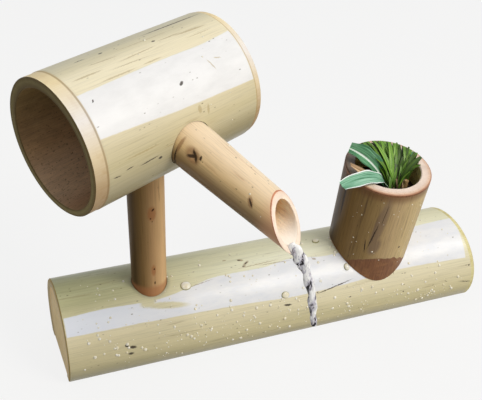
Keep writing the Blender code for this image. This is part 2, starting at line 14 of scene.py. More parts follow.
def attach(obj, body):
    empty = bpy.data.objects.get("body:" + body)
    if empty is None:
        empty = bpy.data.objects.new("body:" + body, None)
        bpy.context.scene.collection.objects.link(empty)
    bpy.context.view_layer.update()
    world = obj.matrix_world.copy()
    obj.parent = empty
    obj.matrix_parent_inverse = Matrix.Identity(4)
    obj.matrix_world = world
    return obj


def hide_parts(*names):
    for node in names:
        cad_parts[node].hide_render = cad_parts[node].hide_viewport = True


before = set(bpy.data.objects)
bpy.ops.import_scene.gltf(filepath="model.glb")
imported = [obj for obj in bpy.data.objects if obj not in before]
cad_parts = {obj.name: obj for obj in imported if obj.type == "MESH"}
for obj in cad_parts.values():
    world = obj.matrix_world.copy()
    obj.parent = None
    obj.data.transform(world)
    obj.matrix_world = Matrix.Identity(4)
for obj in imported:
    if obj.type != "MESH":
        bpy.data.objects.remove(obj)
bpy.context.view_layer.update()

# Sizes of the culms, as in the part
GAP, EASED, SHARP_EDGE = 0.0003, 0.0006, math.radians(38)
BASE_LENGTH, BASE_LEFT_RADIUS, BASE_RIGHT_RADIUS, BASE_WALL = 0.300, 0.0364, 0.0351, 0.0060
BASE_NODE, BASE_AXIS_HEIGHT, CROWN_HEIGHT = 0.0060, 0.0215, 0.0579
BASE_END_TURN, BASE_END_LEAN = math.radians(8.7), math.radians(3.1)
POST_FOOT_RADIUS, POST_TOP_RADIUS, POST_WALL = 0.0119, 0.0124, 0.0035
POST_LOW, POST_HIGH, POST_TAPER_LOW, POST_TAPER_HIGH = 0.038313, 0.159729, 0.0565, 0.143529
POST_FROM_LEFT, AHEAD_OF_AXIS, SWIVEL_LIMIT = 0.0631, 0.0088, math.radians(30)
DRUM_LENGTH, DRUM_MOUTH_RADIUS, DRUM_FAR_RADIUS, DRUM_WALL, DRUM_NODE = 0.1273, 0.0437, 0.0419, 0.0067, 0.0070
DRUM_HEADING, DRUM_CLIMB = math.radians(22.1), math.radians(4.3)
SHAVED_BAND, SHAVED_FAR_BAND, SHAVED_DEPTH, FAR_ROUND = 0.0091, 0.0050, 0.0004, 0.0030
SPOUT_ROOT_RADIUS, SPOUT_MOUTH_RADIUS, SPOUT_WALL = 0.0147, 0.01245, 0.0031
SPOUT_LOW, SPOUT_SHOULDER, SPOUT_MIDDLE = 0.03054, 0.05009, 0.12294
SPOUT_SLANT, SPOUT_TWIST = math.radians(46), math.radians(-19)
CUP_HEIGHT, CUP_FOOT_RADIUS, CUP_RIM_RADIUS, CUP_WALL = 0.0629, 0.0287, 0.0302, 0.0073
CUP_UNDER_NODE, CUP_FLOOR, MIX_TOP = 0.0080, 0.0150, 0.0479
CUP_FROM_RIGHT, CUP_LEAN = 0.0722, math.radians(9.8)
# Where the bored holes' cutters end outside the culms, the fastenings and the hose, as in the part
OVER_CROWN, UNDER_DRUM, BEFORE_DRUM = 0.0700, 0.1315, 0.0547
PEG_RADIUS, PEG_REACH = 0.0013, 0.0045
SCREW_ASIDE, SCREW_HOLE, SCREW_SEAT_RADIUS, SCREW_SEAT_LIFT = 0.010, 0.0021, 0.0048, 0.0012
HOSE_RADIUS, HOSE_BORE, HOSE_LOW, HOSE_END, HOSE_BEND = 0.0050, 0.0040, 0.0163, 0.05254, 0.0270


def placed(origin, x_axis, y_axis, z_axis):
    """The frame with this origin and these axes."""
    turn = Matrix((Vector(x_axis), Vector(y_axis), Vector(z_axis))).transposed().to_4x4()
    return Matrix.Translation(origin) @ turn


# Each culm's own frame. Its Z runs along the culm and its origin lies on the axis.
BASE_PLACE = placed((-0.14586, 0.038088, BASE_AXIS_HEIGHT), (0, 1, 0), (0, 0, 1), (1, 0, 0))
POST_PLACE = placed((-0.08276, 0.029288, 0), (1, 0, 0), (0, 1, 0), (0, 0, 1))
DRUM_AXIS = Vector((0.923921, 0.375165, 0.074979)).normalized()
DRUM_BACK = Vector((0, 0, 1)).cross(DRUM_AXIS).normalized()
DRUM_PLACE = placed((-0.143461, 0.004640, 0.181374), DRUM_BACK, DRUM_AXIS.cross(DRUM_BACK), DRUM_AXIS)
SPOUT_AXIS = Vector((0.412651, -0.880915, -0.231748)).normalized()
SPOUT_RIGHT = Vector((0.905569, 0.424199, 0)).normalized()
SPOUT_PLACE = placed((-0.080727, 0.030113, 0.186465), SPOUT_RIGHT, SPOUT_AXIS.cross(SPOUT_RIGHT), SPOUT_AXIS)
CUP_AXIS = Vector((0.058444, -0.169919, 0.983724)).normalized()
CUP_RIGHT = Vector((0.998291, 0.009948, -0.057591)).normalized()
CUP_PLACE = placed((0.08194, 0.029288, CROWN_HEIGHT), CUP_RIGHT, CUP_AXIS.cross(CUP_RIGHT), CUP_AXIS)


def linear(code):
    """An sRGB hex colour as linear RGBA."""
    parts = [int(code[start:start + 2], 16) / 255 for start in (1, 3, 5)]
    return (*[part / 12.92 if part <= 0.04045 else ((part + 0.055) / 1.055) ** 2.4 for part in parts], 1.0)


# Types of node that are used often, some with their settings
TIMES, TIMES_PLUS, MINUS, LARGER = [
    ("ShaderNodeMath", {"operation": name}) for name in ("MULTIPLY", "MULTIPLY_ADD", "SUBTRACT", "MAXIMUM")]
OVER = ("ShaderNodeMix", {"data_type": "RGBA"})
SHADE = ("ShaderNodeMix", {"data_type": "RGBA", "blend_type": "MULTIPLY"})
STEP = ("ShaderNodeMapRange", {"interpolation_type": "SMOOTHSTEP"})
VECTORS, ATTRIBUTE, MAPPING, SPLIT = (
    "ShaderNodeVectorMath", "ShaderNodeAttribute", "ShaderNodeMapping", "ShaderNodeSeparateXYZ")
NOISE, CELLS, RAMP, BUMP = "ShaderNodeTexNoise", "ShaderNodeTexVoronoi", "ShaderNodeValToRGB", "ShaderNodeBump"


def add(tree, kind, *inputs, stops=(), **named):
    """Adds a node with its settings and links.

    kind is a node's type, a type with its settings, or a node that is there already. Values, nodes and sockets go
    into the inputs that it shows, in order, and a node stands for its first output. A name with a capital is an
    input too, and any other is a setting. stops are a ramp's places with their colours or greys.
    """
    kind, settings = kind if isinstance(kind, tuple) else (kind, {})
    made = tree.nodes.new(kind) if isinstance(kind, str) else kind
    for key, value in {**settings, **named}.items():
        if key.islower():
            setattr(made, key, value)
    filled = list(zip([socket for socket in made.inputs if socket.enabled], inputs))
    filled += [(made.inputs[key.replace("_", " ")], value) for key, value in named.items() if not key.islower()]
    for socket, value in filled:
        if isinstance(value, bpy.types.Node):
            value = next(output for output in value.outputs if output.enabled)
        if isinstance(value, bpy.types.NodeSocket):
            tree.links.new(value, socket)
        elif isinstance(value, str) and value.startswith("#"):
            socket.default_value = linear(value)
        else:
            socket.default_value = value
    if stops:
        ramp = made.color_ramp.elements
        while len(ramp) < len(stops):
            ramp.new(0.5)
        for element, (position, colour) in zip(ramp, stops):
            element.position = position
            element.color = linear(colour) if isinstance(colour, str) else (colour, colour, colour, 1.0)
    return made


def finish(name, **values):
    """A new material and its shader, with the values that are the same all over."""
    made = bpy.data.materials.new(name)
    made.use_nodes = True
    tree = made.node_tree
    return made, tree, add(tree, tree.nodes["Principled BSDF"], **values)


# Patterns on a culm. Every one reads the culm_mm attribute: millimetres across, across and along.

def culm_sockets(tree):
    """The place on the culm as a vector, the distance along it, and the degrees round it."""
    place = add(tree, ATTRIBUTE, attribute_name="culm_mm").outputs["Vector"]
    back = add(tree, SPLIT, add(tree, VECTORS, place, -1.0, operation="SCALE")).outputs
    angle = add(tree, "ShaderNodeMath", back["Y"], back["X"], operation="ARCTAN2")
    return place, add(tree, SPLIT, place).outputs["Z"], add(tree, TIMES_PLUS, angle, 180 / math.pi, 180.0)


def grain(tree, place, across, along, detail, rough, shift):
    """Noise drawn out along the culm. Its cells are so many millimetres across and along."""
    scaled = add(tree, MAPPING, Vector=place, Location=(shift, shift * 0.7, shift * 0.3),
                 Scale=(1 / across, 1 / across, 1 / along))
    return add(tree, NOISE, Vector=scaled, Scale=1.0, Detail=detail, Roughness=rough)


def round_culm(tree, degrees, stops):
    """Colours or greys at their shares of the way round the culm."""
    return add(tree, RAMP, add(tree, "ShaderNodeMath", degrees, 360.0, operation="DIVIDE"), stops=stops)


def edge_line(tree, along, length, points):
    """A line drawn along the culm: degrees round it at each share of its length."""
    share = add(tree, "ShaderNodeMath", along, length, operation="DIVIDE", use_clamp=True)
    curve = add(tree, "ShaderNodeFloatCurve", Value=share)
    line = curve.mapping.curves[0].points
    while len(line) < len(points):
        line.new(0.5, 0.5)
    for point, (at, degrees) in zip(line, points):
        point.location = (at, degrees / 360)
        point.handle_type = "AUTO_CLAMPED"
    curve.mapping.update()
    return add(tree, TIMES, curve, 360.0)


def reflection_stripe(tree, sockets, length, upper, lower, start, end):
    """A pale stripe of painted reflection between two lines, with edges that wander by half a degree."""
    place, along, degrees = sockets
    moved = add(tree, TIMES_PLUS, grain(tree, place, 9, 26, 3.0, 0.6, 3.1), 1.6, degrees)
    moved = add(tree, TIMES_PLUS, grain(tree, place, 1.4, 3.5, 1.0, 0.5, 8.4), 0.6, moved)
    moved = add(tree, MINUS, moved, 1.1)
    soft_degrees, soft_end = 0.7, 0.4
    painted_reflection = add(tree, STEP, along, start - soft_end, start + soft_end)
    for edge in (
            (add(tree, MINUS, moved, edge_line(tree, along, length, upper)), -soft_degrees, soft_degrees),
            (add(tree, MINUS, edge_line(tree, along, length, lower), moved), -soft_degrees, soft_degrees),
            (along, end - soft_end, end + soft_end, 1.0, 0.0)):
        painted_reflection = add(tree, TIMES, painted_reflection, add(tree, STEP, *edge))
    return painted_reflection


def marks(tree, sockets, radius, wanted):
    """Specks, scars, cracks, spots of painted shade and gaps in a painted reflection as soft-edged ellipses:
    along, degrees, length, width and tilt of each.
    """
    place, along, degrees = sockets
    arc = math.pi / 180 * radius
    flat = add(tree, "ShaderNodeCombineXYZ", along, add(tree, TIMES, degrees, arc))
    blur = add(tree, NOISE, Vector=place, Scale=0.9, Detail=2.0).outputs["Color"]
    shift = add(tree, VECTORS, blur, (1.0, 1.0, 0.0), (-0.5, -0.5, 0.0), operation="MULTIPLY_ADD")
    warped = add(tree, VECTORS, flat, shift, operation="ADD")
    total = 0.0
    for at, turn, long_size, wide_size, tilt in wanted:
        near = add(tree, MAPPING, vector_type="TEXTURE", Vector=warped, Location=(at, turn * arc, 0.0),
                   Rotation=(0.0, 0.0, math.radians(tilt)), Scale=(long_size / 2, wide_size / 2, 1.0))
        away = add(tree, VECTORS, near, operation="LENGTH")
        total = add(tree, LARGER, total, add(tree, STEP, away, 0.55, 1.15, 1.0, 0.0))
    return total


def culm_skin(name, length, radius, hues, sides, far_sides=(), stripe=None, bare=(), dark=(), brown=(),
              reddened=None, smudge="#8A6A3C", gloss=0.25, wet=0.0, rough=0.36, streaks=0.5):
    """Dried culm skin: a silica-hard, satin rind with fine fibres along it, slow drifts of colour and small specks.

    hues are pale, middle and dark rind and the stain on it. sides are colour stops round the culm, and far_sides
    the same at its far end: the rind's colour together with painted shade on the sides turned from the light and
    painted light on the lit ones. stripe is the two edges, the ends and the three whites of a pale stripe of
    painted reflection, and bare is where that painted reflection is broken. reddened is where the rind starts and
    ends to turn to a colour near a cut, and that colour.
    The real fibres are 0.1 to 0.3 mm wide. They are drawn 0.75 mm wide, about one pixel, so that they show.
    """
    made, tree, shader = finish(name, IOR=1.5, Specular_IOR_Level=gloss, Coat_Weight=wet, Coat_Roughness=0.10,
                                Coat_IOR=1.33)
    sockets = place, along, degrees = culm_sockets(tree)
    drift = grain(tree, place, 11, 120, 3.0, 0.55, 1.7)
    rind = add(tree, RAMP, drift, stops=((0.36, hues[2]), (0.50, hues[1]), (0.66, hues[0])))
    around = round_culm(tree, degrees, sides)
    if far_sides:
        far = add(tree, STEP, along, 0.02 * length, 0.58 * length)
        around = add(tree, OVER, far, around, round_culm(tree, degrees, far_sides))
    rind = add(tree, OVER, 0.80, rind, around)
    fibre = grain(tree, place, 0.75, 34, 4.0, 0.62, 5.3)
    rind = add(tree, SHADE, streaks, rind, add(tree, RAMP, fibre, stops=((0.30, 0.55), (0.50, 0.92), (0.70, 1.0))))
    stain = grain(tree, place, 3.6, 60, 4.0, 0.65, 9.9)
    rind = add(tree, OVER, add(tree, STEP, stain, 0.60, 0.76, 0.0, 0.55), rind, hues[3])
    if stripe:
        upper, lower, start, end, white, hollow_white, mouth_white = stripe
        painted_reflection = reflection_stripe(tree, sockets, length, upper, lower, start, end)
        if bare:
            painted_reflection = add(tree, TIMES, painted_reflection, add(tree, MINUS, 1.0, marks(tree, sockets, radius, bare)))
        reflection_white = add(tree, RAMP, grain(tree, place, 6, 14, 4.0, 0.6, 4.4), stops=((0.30, hollow_white), (0.62, white)))
        reflection_white = add(tree, OVER, add(tree, STEP, along, 0.0, 0.36 * length, 0.8, 0.0), reflection_white, mouth_white)
        rind = add(tree, OVER, add(tree, TIMES, painted_reflection, 0.97), rind, reflection_white)
    pores = add(tree, CELLS, Vector=add(tree, MAPPING, Vector=place, Scale=(0.34, 0.34, 0.16)), Scale=1.0)
    speck = add(tree, TIMES, add(tree, STEP, pores, 0.06, 0.16, 0.75, 0.0), add(tree, STEP, stain, 0.46, 0.60))
    rind = add(tree, OVER, speck, rind, "#5C4A30")
    if reddened:
        start, end, red = reddened
        rind = add(tree, OVER, add(tree, STEP, along, start, end, 0.0, 0.65), rind, red)
    for wanted, share, colour in ((brown, 0.60, smudge), (dark, 0.92, "#2E2013")):
        rind = add(tree, OVER, add(tree, TIMES, marks(tree, sockets, radius, wanted), share), rind, colour)
    dull = grain(tree, place, 5, 30, 3.0, 0.6, 2.2)
    add(tree, shader, Base_Color=rind,
        Roughness=add(tree, RAMP, dull, stops=((0.3, rough - 0.08), (0.7, rough + 0.10))),
        Normal=add(tree, BUMP, Height=fibre, Distance=0.00012, Strength=0.5))
    return made


def cut_fibre(name, outer_radius, wall, hues, rough=0.62, painted_shade_stops=()):
    """Sawn culm wall: pale pith with brown bundle ends, crowded and darker towards the rind, matt from the saw.

    The grey stops round it are painted shade where the cut is turned from the light and painted light where it
    faces it. Real bundle ends are about 0.3 mm across, and they are drawn in cells of 0.74 mm so that they show.
    """
    made, tree, shader = finish(name, IOR=1.45, Specular_IOR_Level=0.25, Roughness=rough)
    place, along, degrees = culm_sockets(tree)
    flat = add(tree, VECTORS, place, (1.0, 1.0, 0.0), operation="MULTIPLY")
    away = add(tree, VECTORS, flat, operation="LENGTH")
    depth = add(tree, STEP, away, (outer_radius - wall) * 1000, outer_radius * 1000)
    bundles = add(tree, CELLS, Vector=place, Scale=1.35)
    dot = add(tree, "ShaderNodeMath", bundles, add(tree, TIMES_PLUS, depth, 0.22, 0.10), operation="LESS_THAN")
    ground = add(tree, RAMP, depth, stops=tuple(zip((0.0, 0.55, 0.93, 1.0), hues)))
    cloud = add(tree, RAMP, grain(tree, place, 5, 5, 3.0, 0.6, 6.6), stops=((0.3, 0.78), (0.65, 1.0)))
    ground = add(tree, SHADE, 0.7, ground, cloud)
    ground = add(tree, OVER, add(tree, TIMES, dot, 0.42), ground, hues[4])
    if painted_shade_stops:
        ground = add(tree, SHADE, 1.0, ground, round_culm(tree, degrees, painted_shade_stops))
    saw = grain(tree, place, 0.5, 0.9, 3.0, 0.7, 1.1)
    add(tree, shader, Base_Color=ground, Normal=add(tree, BUMP, Height=saw, Distance=0.0002, Strength=0.5))
    return made


def inner_wall(name, hues, blotch, rough=0.66, sides=(), lip=None):
    """The culm's inner wall: papery lining, stained and mottled by damp, with fine fibres along it.

    sides are colour stops round it, which paint light and shade; lip is where along the culm it turns pale towards
    the mouth, and that colour, which is painted light and sheen on the wet wall.
    The fibres are as fine as the rind's, and are drawn 0.7 mm wide so that they show.
    """
    made, tree, shader = finish(name, IOR=1.42, Specular_IOR_Level=0.30, Roughness=rough)
    place, along, degrees = culm_sockets(tree)
    mottle = grain(tree, place, blotch, blotch * 1.8, 5.0, 0.65, 2.7)
    lining = add(tree, RAMP, mottle, stops=((0.32, hues[2]), (0.5, hues[1]), (0.68, hues[0])))
    if sides:
        lining = add(tree, OVER, 0.65, lining, round_culm(tree, degrees, sides))
    fibre = add(tree, RAMP, grain(tree, place, 0.7, 16, 3.0, 0.6, 7.1), stops=((0.3, 0.6), (0.6, 1.0)))
    lining = add(tree, SHADE, 0.6, lining, fibre)
    spots = grain(tree, place, 1.2, 1.6, 2.0, 0.5, 4.9)
    lining = add(tree, OVER, add(tree, STEP, spots, 0.60, 0.70, 0.0, 0.5), lining, hues[3])
    if lip:
        start, end, pale = lip
        lining = add(tree, OVER, add(tree, STEP, along, start, end, 0.0, 0.92), lining, pale)
    add(tree, shader, Base_Color=lining, Normal=add(tree, BUMP, Height=spots, Distance=0.00025, Strength=0.5))
    return made


def shaved_fibre(name, hues, rough=0.5, sides=(), cuts=()):
    """Rind scraped away with a knife: bare pale fibre, silky, with close lines along the culm.

    sides are colour stops round the culm, which paint a highlight on the lit top of the band and shade on its
    underside. cuts are where along the culm the knife's stop cuts run, each with its colour. The lines are drawn
    0.45 mm wide, coarser than real ones, so that some show.
    """
    made, tree, shader = finish(name, IOR=1.45, Specular_IOR_Level=0.25, Roughness=rough)
    place, along, degrees = culm_sockets(tree)
    fibre = grain(tree, place, 0.45, 12, 3.0, 0.6, 3.3)
    bare = add(tree, RAMP, fibre, stops=((0.32, hues[1]), (0.62, hues[0])))
    cloud = grain(tree, place, 7, 5, 3.0, 0.6, 8.8)
    bare = add(tree, OVER, add(tree, STEP, cloud, 0.48, 0.68, 0.0, 0.5), bare, hues[2])
    if sides:
        bare = add(tree, OVER, 0.65, bare, round_culm(tree, degrees, sides))
    for line, colour in cuts:
        off = add(tree, "ShaderNodeMath", add(tree, MINUS, along, line), operation="ABSOLUTE")
        bare = add(tree, OVER, add(tree, STEP, off, 0.3, 0.8, 0.55, 0.0), bare, colour)
    add(tree, shader, Base_Color=bare, Normal=add(tree, BUMP, Height=fibre, Distance=0.00010, Strength=0.5))
    return made


# Making culms

SKIN, CUT, INSIDE, SHAVED, NODE_FACE = range(5)


def lerp(low, high, share):
    return low + (high - low) * share


def runs(rows, run_finish=SKIN):
    """An outline of one finish from its radii and heights, some with the number of strips that follow."""
    return [((radius, height), run_finish, *(strips or (1,))) for radius, height, *strips in rows]


def bridged(shape, rings, finishes):
    """Faces from each ring to the next, in the finish of each run. A ring of one point is a pole."""
    for lower, upper, run_finish in zip(rings, rings[1:] + rings[:1], finishes):
        sides = max(len(lower), len(upper))
        for side in range(sides if sides > 1 else 0):
            corners = [ring[at % len(ring)] for ring, at in (
                (lower, side), (lower, side + 1), (upper, side + 1), (upper, side))]
            shape.faces.new(list(dict.fromkeys(corners))).material_index = run_finish


def turned_culm(outline, sides):
    """Turns a closed outline about Z. A point is (radius, height) or a function that gives it at an angle.

    With each point come the finish and the number of strips of the run that follows it.
    """
    shape = bmesh.new()
    angles = [math.tau * side / sides for side in range(sides)]
    rings = []
    finishes = []
    for (point, run_finish, strips), (after, *_) in zip(outline, outline[1:] + outline[:1]):
        lows, highs = [[spot(angle) if callable(spot) else spot for angle in angles] for spot in (point, after)]
        for strip in range(strips):
            share = strip / strips
            ends = [(lerp(low[0], high[0], share), lerp(low[1], high[1], share)) for low, high in zip(lows, highs)]
            if max(radius for radius, height in ends) < 1e-7:
                rings.append([shape.verts.new((0, 0, ends[0][1]))])
            else:
                rings.append([shape.verts.new((radius * math.cos(angle), radius * math.sin(angle), height))
                              for angle, (radius, height) in zip(angles, ends)])
            finishes.append(run_finish)
    bridged(shape, rings, finishes)
    bmesh.ops.recalc_face_normals(shape, faces=shape.faces)
    return shape


def press(vert, dip):
    """Moves a point of the rind straight in towards the axis."""
    share = 1 - dip / math.hypot(vert.co.x, vert.co.y)
    vert.co.x *= share
    vert.co.y *= share


def weathered(shape, outer, depth, seed):
    """Lets the rind dip a little here and there, as a grown culm does, and never rise."""
    for vert in shape.verts:
        if math.hypot(vert.co.x, vert.co.y) >= outer(vert.co.z) - 0.0012:
            where = Vector((vert.co.x * 28, vert.co.y * 28, vert.co.z * 9)) + Vector((seed, seed, seed))
            press(vert, depth * (0.5 + 0.5 * noise.noise(where)))


def made_mesh(name, shape, place, materials):
    """One object from a shape, with its place in its mesh."""
    mesh = bpy.data.meshes.new(name)
    shape.to_mesh(mesh)
    shape.free()
    mesh.transform(place)
    for material in materials:
        mesh.materials.append(material)
    made = bpy.data.objects.new(name, mesh)
    bpy.context.scene.collection.objects.link(made)
    return made


def as_plain_mesh(piece):
    """Bakes the modifiers of a piece into its mesh."""
    bpy.context.view_layer.update()
    old = piece.data
    plain = bpy.data.meshes.new_from_object(piece.evaluated_get(bpy.context.evaluated_depsgraph_get()))
    piece.modifiers.clear()
    piece.data = plain
    bpy.data.meshes.remove(old)


def bore(piece, outline, place, sides=96):
    """Takes a turned cutter out of a piece and leaves the hole with a cut finish."""
    cutter = made_mesh("cutter", turned_culm(runs(outline, CUT), sides), place, piece.data.materials)
    step = piece.modifiers.new("bored", "BOOLEAN")
    step.operation, step.solver, step.object = "DIFFERENCE", "EXACT", cutter
    as_plain_mesh(piece)
    bpy.data.objects.remove(cutter, do_unlink=True)


def rod(radius, low, high):
    return [(0, low), (radius, low), (radius, high), (0, high)]


def settled(piece, place, body, slot_name, *nodes):
    """The last steps of a piece: shading, each vertex's place on its culm, its body and its nodes; its slot is not
    used.
    """
    mesh = piece.data
    mesh.shade_smooth()
    mesh.set_sharp_from_angle(angle=SHARP_EDGE)
    back = place.inverted()
    values = [part * 1000 for vert in mesh.vertices for part in back @ vert.co]
    mesh.attributes.new("culm_mm", "FLOAT_VECTOR", "POINT").data.foreach_set("vector", values)
    if nodes:
        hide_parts(*nodes)
    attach(piece, body)
    return piece


def whole_piece(name, shape, place, materials, *last_steps):
    """A piece that needs no boring, from its shape to its last steps."""
    return settled(made_mesh(name, shape, place, materials), place, *last_steps)


# Finishes. Stops round a culm are shares of a full turn with the colours listed. Marks are along, degrees,
# length, width and tilt.

# Green-tan above and straw-tan below, splashed wet, with a pale stripe in front of the crown that is a painted
# reflection. The stops round it also paint shade on the back edge and underneath, and light in front. The film of
# water gives the eye one sharp highlight over the rind's soft one.
BASE_SKIN = culm_skin(
    "wet green-tan culm rind", 300.0, 36.0, ("#CFC8A2", "#BDB48C", "#9C9A72", "#8F7D52"),
    ((0.0, "#A8A47C"), (0.20, "#848856"), (0.30, "#CCCC9C"), (0.42, "#F0E4C0"), (0.52, "#DCD0A4"),
     (0.60, "#8C8458"), (0.80, "#A49874")),
    ((0.0, "#B8B48C"), (0.20, "#ECE8C0"), (0.30, "#F4F4DC"), (0.45, "#EEE4C4"), (0.54, "#E0D4A4"),
     (0.60, "#A89C6C"), (0.80, "#A49874")),
    stripe=(
        ((0.0, 130), (0.09, 128), (0.20, 130), (0.29, 124), (0.37, 117), (0.47, 117), (0.55, 113), (0.64, 118),
         (0.9, 101), (1.0, 99)),
        ((0.0, 150), (0.19, 151), (0.42, 154), (0.55, 157), (0.64, 156), (0.82, 151), (1.0, 154)),
        1.2, 297.5, "#EBECEF", "#E0E3EA", "#EEF3FF"),
    bare=((70, 137.5, 33, 5.2, 9), (58, 131.5, 12, 7.0, 0)),
    # The dark mark 27 by 28 mm at 63.1 mm along, 105.1 degrees is a soft ring of painted shade round the post's
    # foot
    dark=((43.5, 175.8, 5.6, 2.7, 12), (39.5, 172.9, 3.4, 2.0, 20), (42, 184, 4.2, 2.3, 0), (52, 183, 2.6, 1.5, 35),
          (155.2, 165.3, 6.5, 1.8, 8), (203, 172, 1.8, 1.2, 0), (300, 164, 1.6, 1.2, 0), (178, 158, 1.6, 1.0, 0),
          (191, 155.5, 31, 0.9, -11), (298, 186.5, 13, 0.8, 14), (246, 181, 1.5, 1.0, 0), (63.1, 105.1, 27, 28, 0),
          (128, 102, 2.8, 1.2, 20), (132, 107.6, 3.2, 1.1, -30), (129.5, 111, 1.8, 0.9, 0)),
    brown=((129, 102, 5, 2.2, 20), (132, 107.6, 6, 2.2, -30), (130, 111, 3, 1.6, 0), (181, 119, 3.5, 1.6, 20),
           (118, 98, 3, 1.4, 0), (140, 112, 34, 0.7, -2), (152, 114.5, 26, 0.6, 2), (96, 121.5, 22, 0.6, -8)),
    wet=0.22, rough=0.34, streaks=0.42)
# Straw, paler and drier than the base and satin, with a broad pale stripe that is a painted reflection. The stops
# round it paint light on top and shade underneath.
DRUM_SKIN = culm_skin(
    "dry straw culm rind", 127.3, 43.0, ("#EFE6C9", "#E2D7B6", "#CFC399", "#A08D62"),
    ((0.0, "#B8AC84"), (0.22, "#C8C09C"), (0.28, "#F6ECCC"), (0.42, "#E0D4B4"), (0.50, "#D0C49C"),
     (0.58, "#948860"), (0.70, "#7C744C"), (0.85, "#9C9068")),
    stripe=(
        ((0.0, 118.5), (0.25, 118.2), (0.5, 117.2), (0.75, 118.2), (1.0, 115.5)),
        ((0.0, 154.0), (0.25, 156.5), (0.5, 159.5), (0.75, 161.2), (1.0, 162.5)),
        9.7, 121.6, "#EEEEEF", "#E6E6E7", "#EEEEEF"),
    dark=((38, 188.6, 14, 1.0, -4), (46, 191.0, 3.2, 2.0, 0), (15, 189, 6, 0.8, 8), (24, 186.5, 6, 0.7, -4),
          (72, 141.5, 3.8, 2.2, -30), (16.4, 127, 2.2, 1.2, -50), (44, 84, 3.4, 1.6, 0), (75.5, 96, 3.2, 1.5, 0),
          (98, 80.5, 48, 1.6, 0), (30, 83, 8, 0.8, 0)),
    brown=((101, 100, 26, 1.8, 3), (86, 98, 18, 1.1, 0), (60, 103, 30, 1.0, -3), (97, 137, 9, 1.0, 70),
           (103, 134, 6, 0.8, 20), (78, 166, 3, 6, 0), (84, 169, 2, 7, 10), (40, 96, 22, 0.9, 3),
           (40, 115.5, 26, 1.2, 0), (64, 115, 14, 0.9, -1), (24, 105, 22, 1.4, 0), (52, 109, 30, 0.7, 1),
           (70, 90, 36, 0.8, 1), (104, 107, 20, 0.7, 0), (34, 178, 26, 1.2, 0), (62, 184, 30, 1.0, 1)),
    smudge="#B4A074", wet=0.06, rough=0.36, streaks=0.36)
# A thin cane with its wax rubbed off: orange-tan, nearly without gloss, with painted shade where it turns from the
# light and painted light on its lit side
POST_SKIN = culm_skin(
    "orange-tan cane rind", 160.0, 12.0, ("#C9A47C", "#B58C63", "#98744E", "#6B4C2E"),
    ((0.0, "#D8B084"), (0.25, "#987850"), (0.50, "#443820"), (0.58, "#342C14"), (0.66, "#84683C"),
     (0.76, "#CCA474"), (0.86, "#ECC490"), (1.0, "#D8B084")),
    dark=((119.4, 276, 3.0, 1.5, 40), (73, 274, 1.8, 1.0, 0), (61.6, 275, 2.8, 1.1, 0), (113, 268, 1.4, 1.0, 20),
          (110.5, 272, 1.2, 0.8, 0)),
    brown=((116.5, 272, 12, 6.5, 0), (72, 272, 10, 3.5, 0)), reddened=(60.6, 56.4, "#B47850"),
    smudge="#A8683E", gloss=0.06, rough=0.42, streaks=0.4)
# Peach cane with a bud scar and a slit, redder and satin with damp towards its mouth. The stops round it paint
# light on top and shade on its lower left, and a short dark arc 44.8 mm along is painted shadow where it leaves
# the drum.
SPOUT_SKIN = culm_skin(
    "peach cane rind", 140.0, 13.8, ("#F2CDA2", "#E3B98C", "#CB9E70", "#A86F48"),
    ((0.0, "#F4D4B0"), (0.15, "#F8E8CC"), (0.30, "#FFE8C4"), (0.42, "#ECCC94"), (0.50, "#785C2C"),
     (0.58, "#2C2410"), (0.75, "#6C5C38"), (0.92, "#D8B488"), (1.0, "#F4D4B0")),
    dark=((57.8, 149, 9.0, 2.6, 40), (56, 153.5, 8.0, 2.6, -24), (103.5, 151.2, 6.6, 1.5, 38),
          (62, 144, 3.4, 1.7, 60), (44.8, 192, 1.6, 17, 0)),
    brown=((56.5, 151, 14, 9, 15), (103, 150, 8, 4, 50), (45.5, 150, 3.0, 12, 0)), reddened=(106, 124, "#E6AC86"),
    smudge="#8E5C38", gloss=0.14, wet=0.04, rough=0.38, streaks=0.45)
# Old brown culm, streaked and stained by rain: the wax is gone, so it is dull all over. The stops round it paint
# shade on its left and light on its front right.
CUP_SKIN = culm_skin(
    "weathered brown culm rind", 63.0, 29.5, ("#A58A62", "#8A6F4C", "#6B5338", "#3E2C1B"),
    ((0.0, "#CCB07C"), (0.25, "#88744C"), (0.48, "#302010"), (0.55, "#846430"), (0.66, "#A08454"),
     (0.73, "#CCB084"), (0.82, "#DCC490"), (0.90, "#C4A874"), (1.0, "#CCB07C")),
    dark=((12.0, 285, 2.0, 1.8, 0), (23, 240, 26, 1.1, 8), (13, 233, 14, 1.0, -8), (40, 182, 34, 2.6, 0),
          (44, 248, 20, 0.5, 5)),
    brown=((34, 245, 56, 8, 5), (14, 246, 18, 9, 15)), reddened=(52.5, 60.0, "#6A4226"),
    smudge="#745F52", gloss=0.12, wet=0.03, rough=0.44, streaks=0.8)

# Sawn walls: pale or, on the drum, dark with painted shade, for that cut is turned from the light. On the drum and
# the cup the grey stops round the cut paint more shade and light. The saw leaves them matt, and water smooths the
# wet ones.
BASE_CUT = cut_fibre("sawn wet culm wall", 0.0364, 0.0060, ("#D9C79C", "#CDB686", "#C2A86E", "#A98F52", "#7C5C30"))
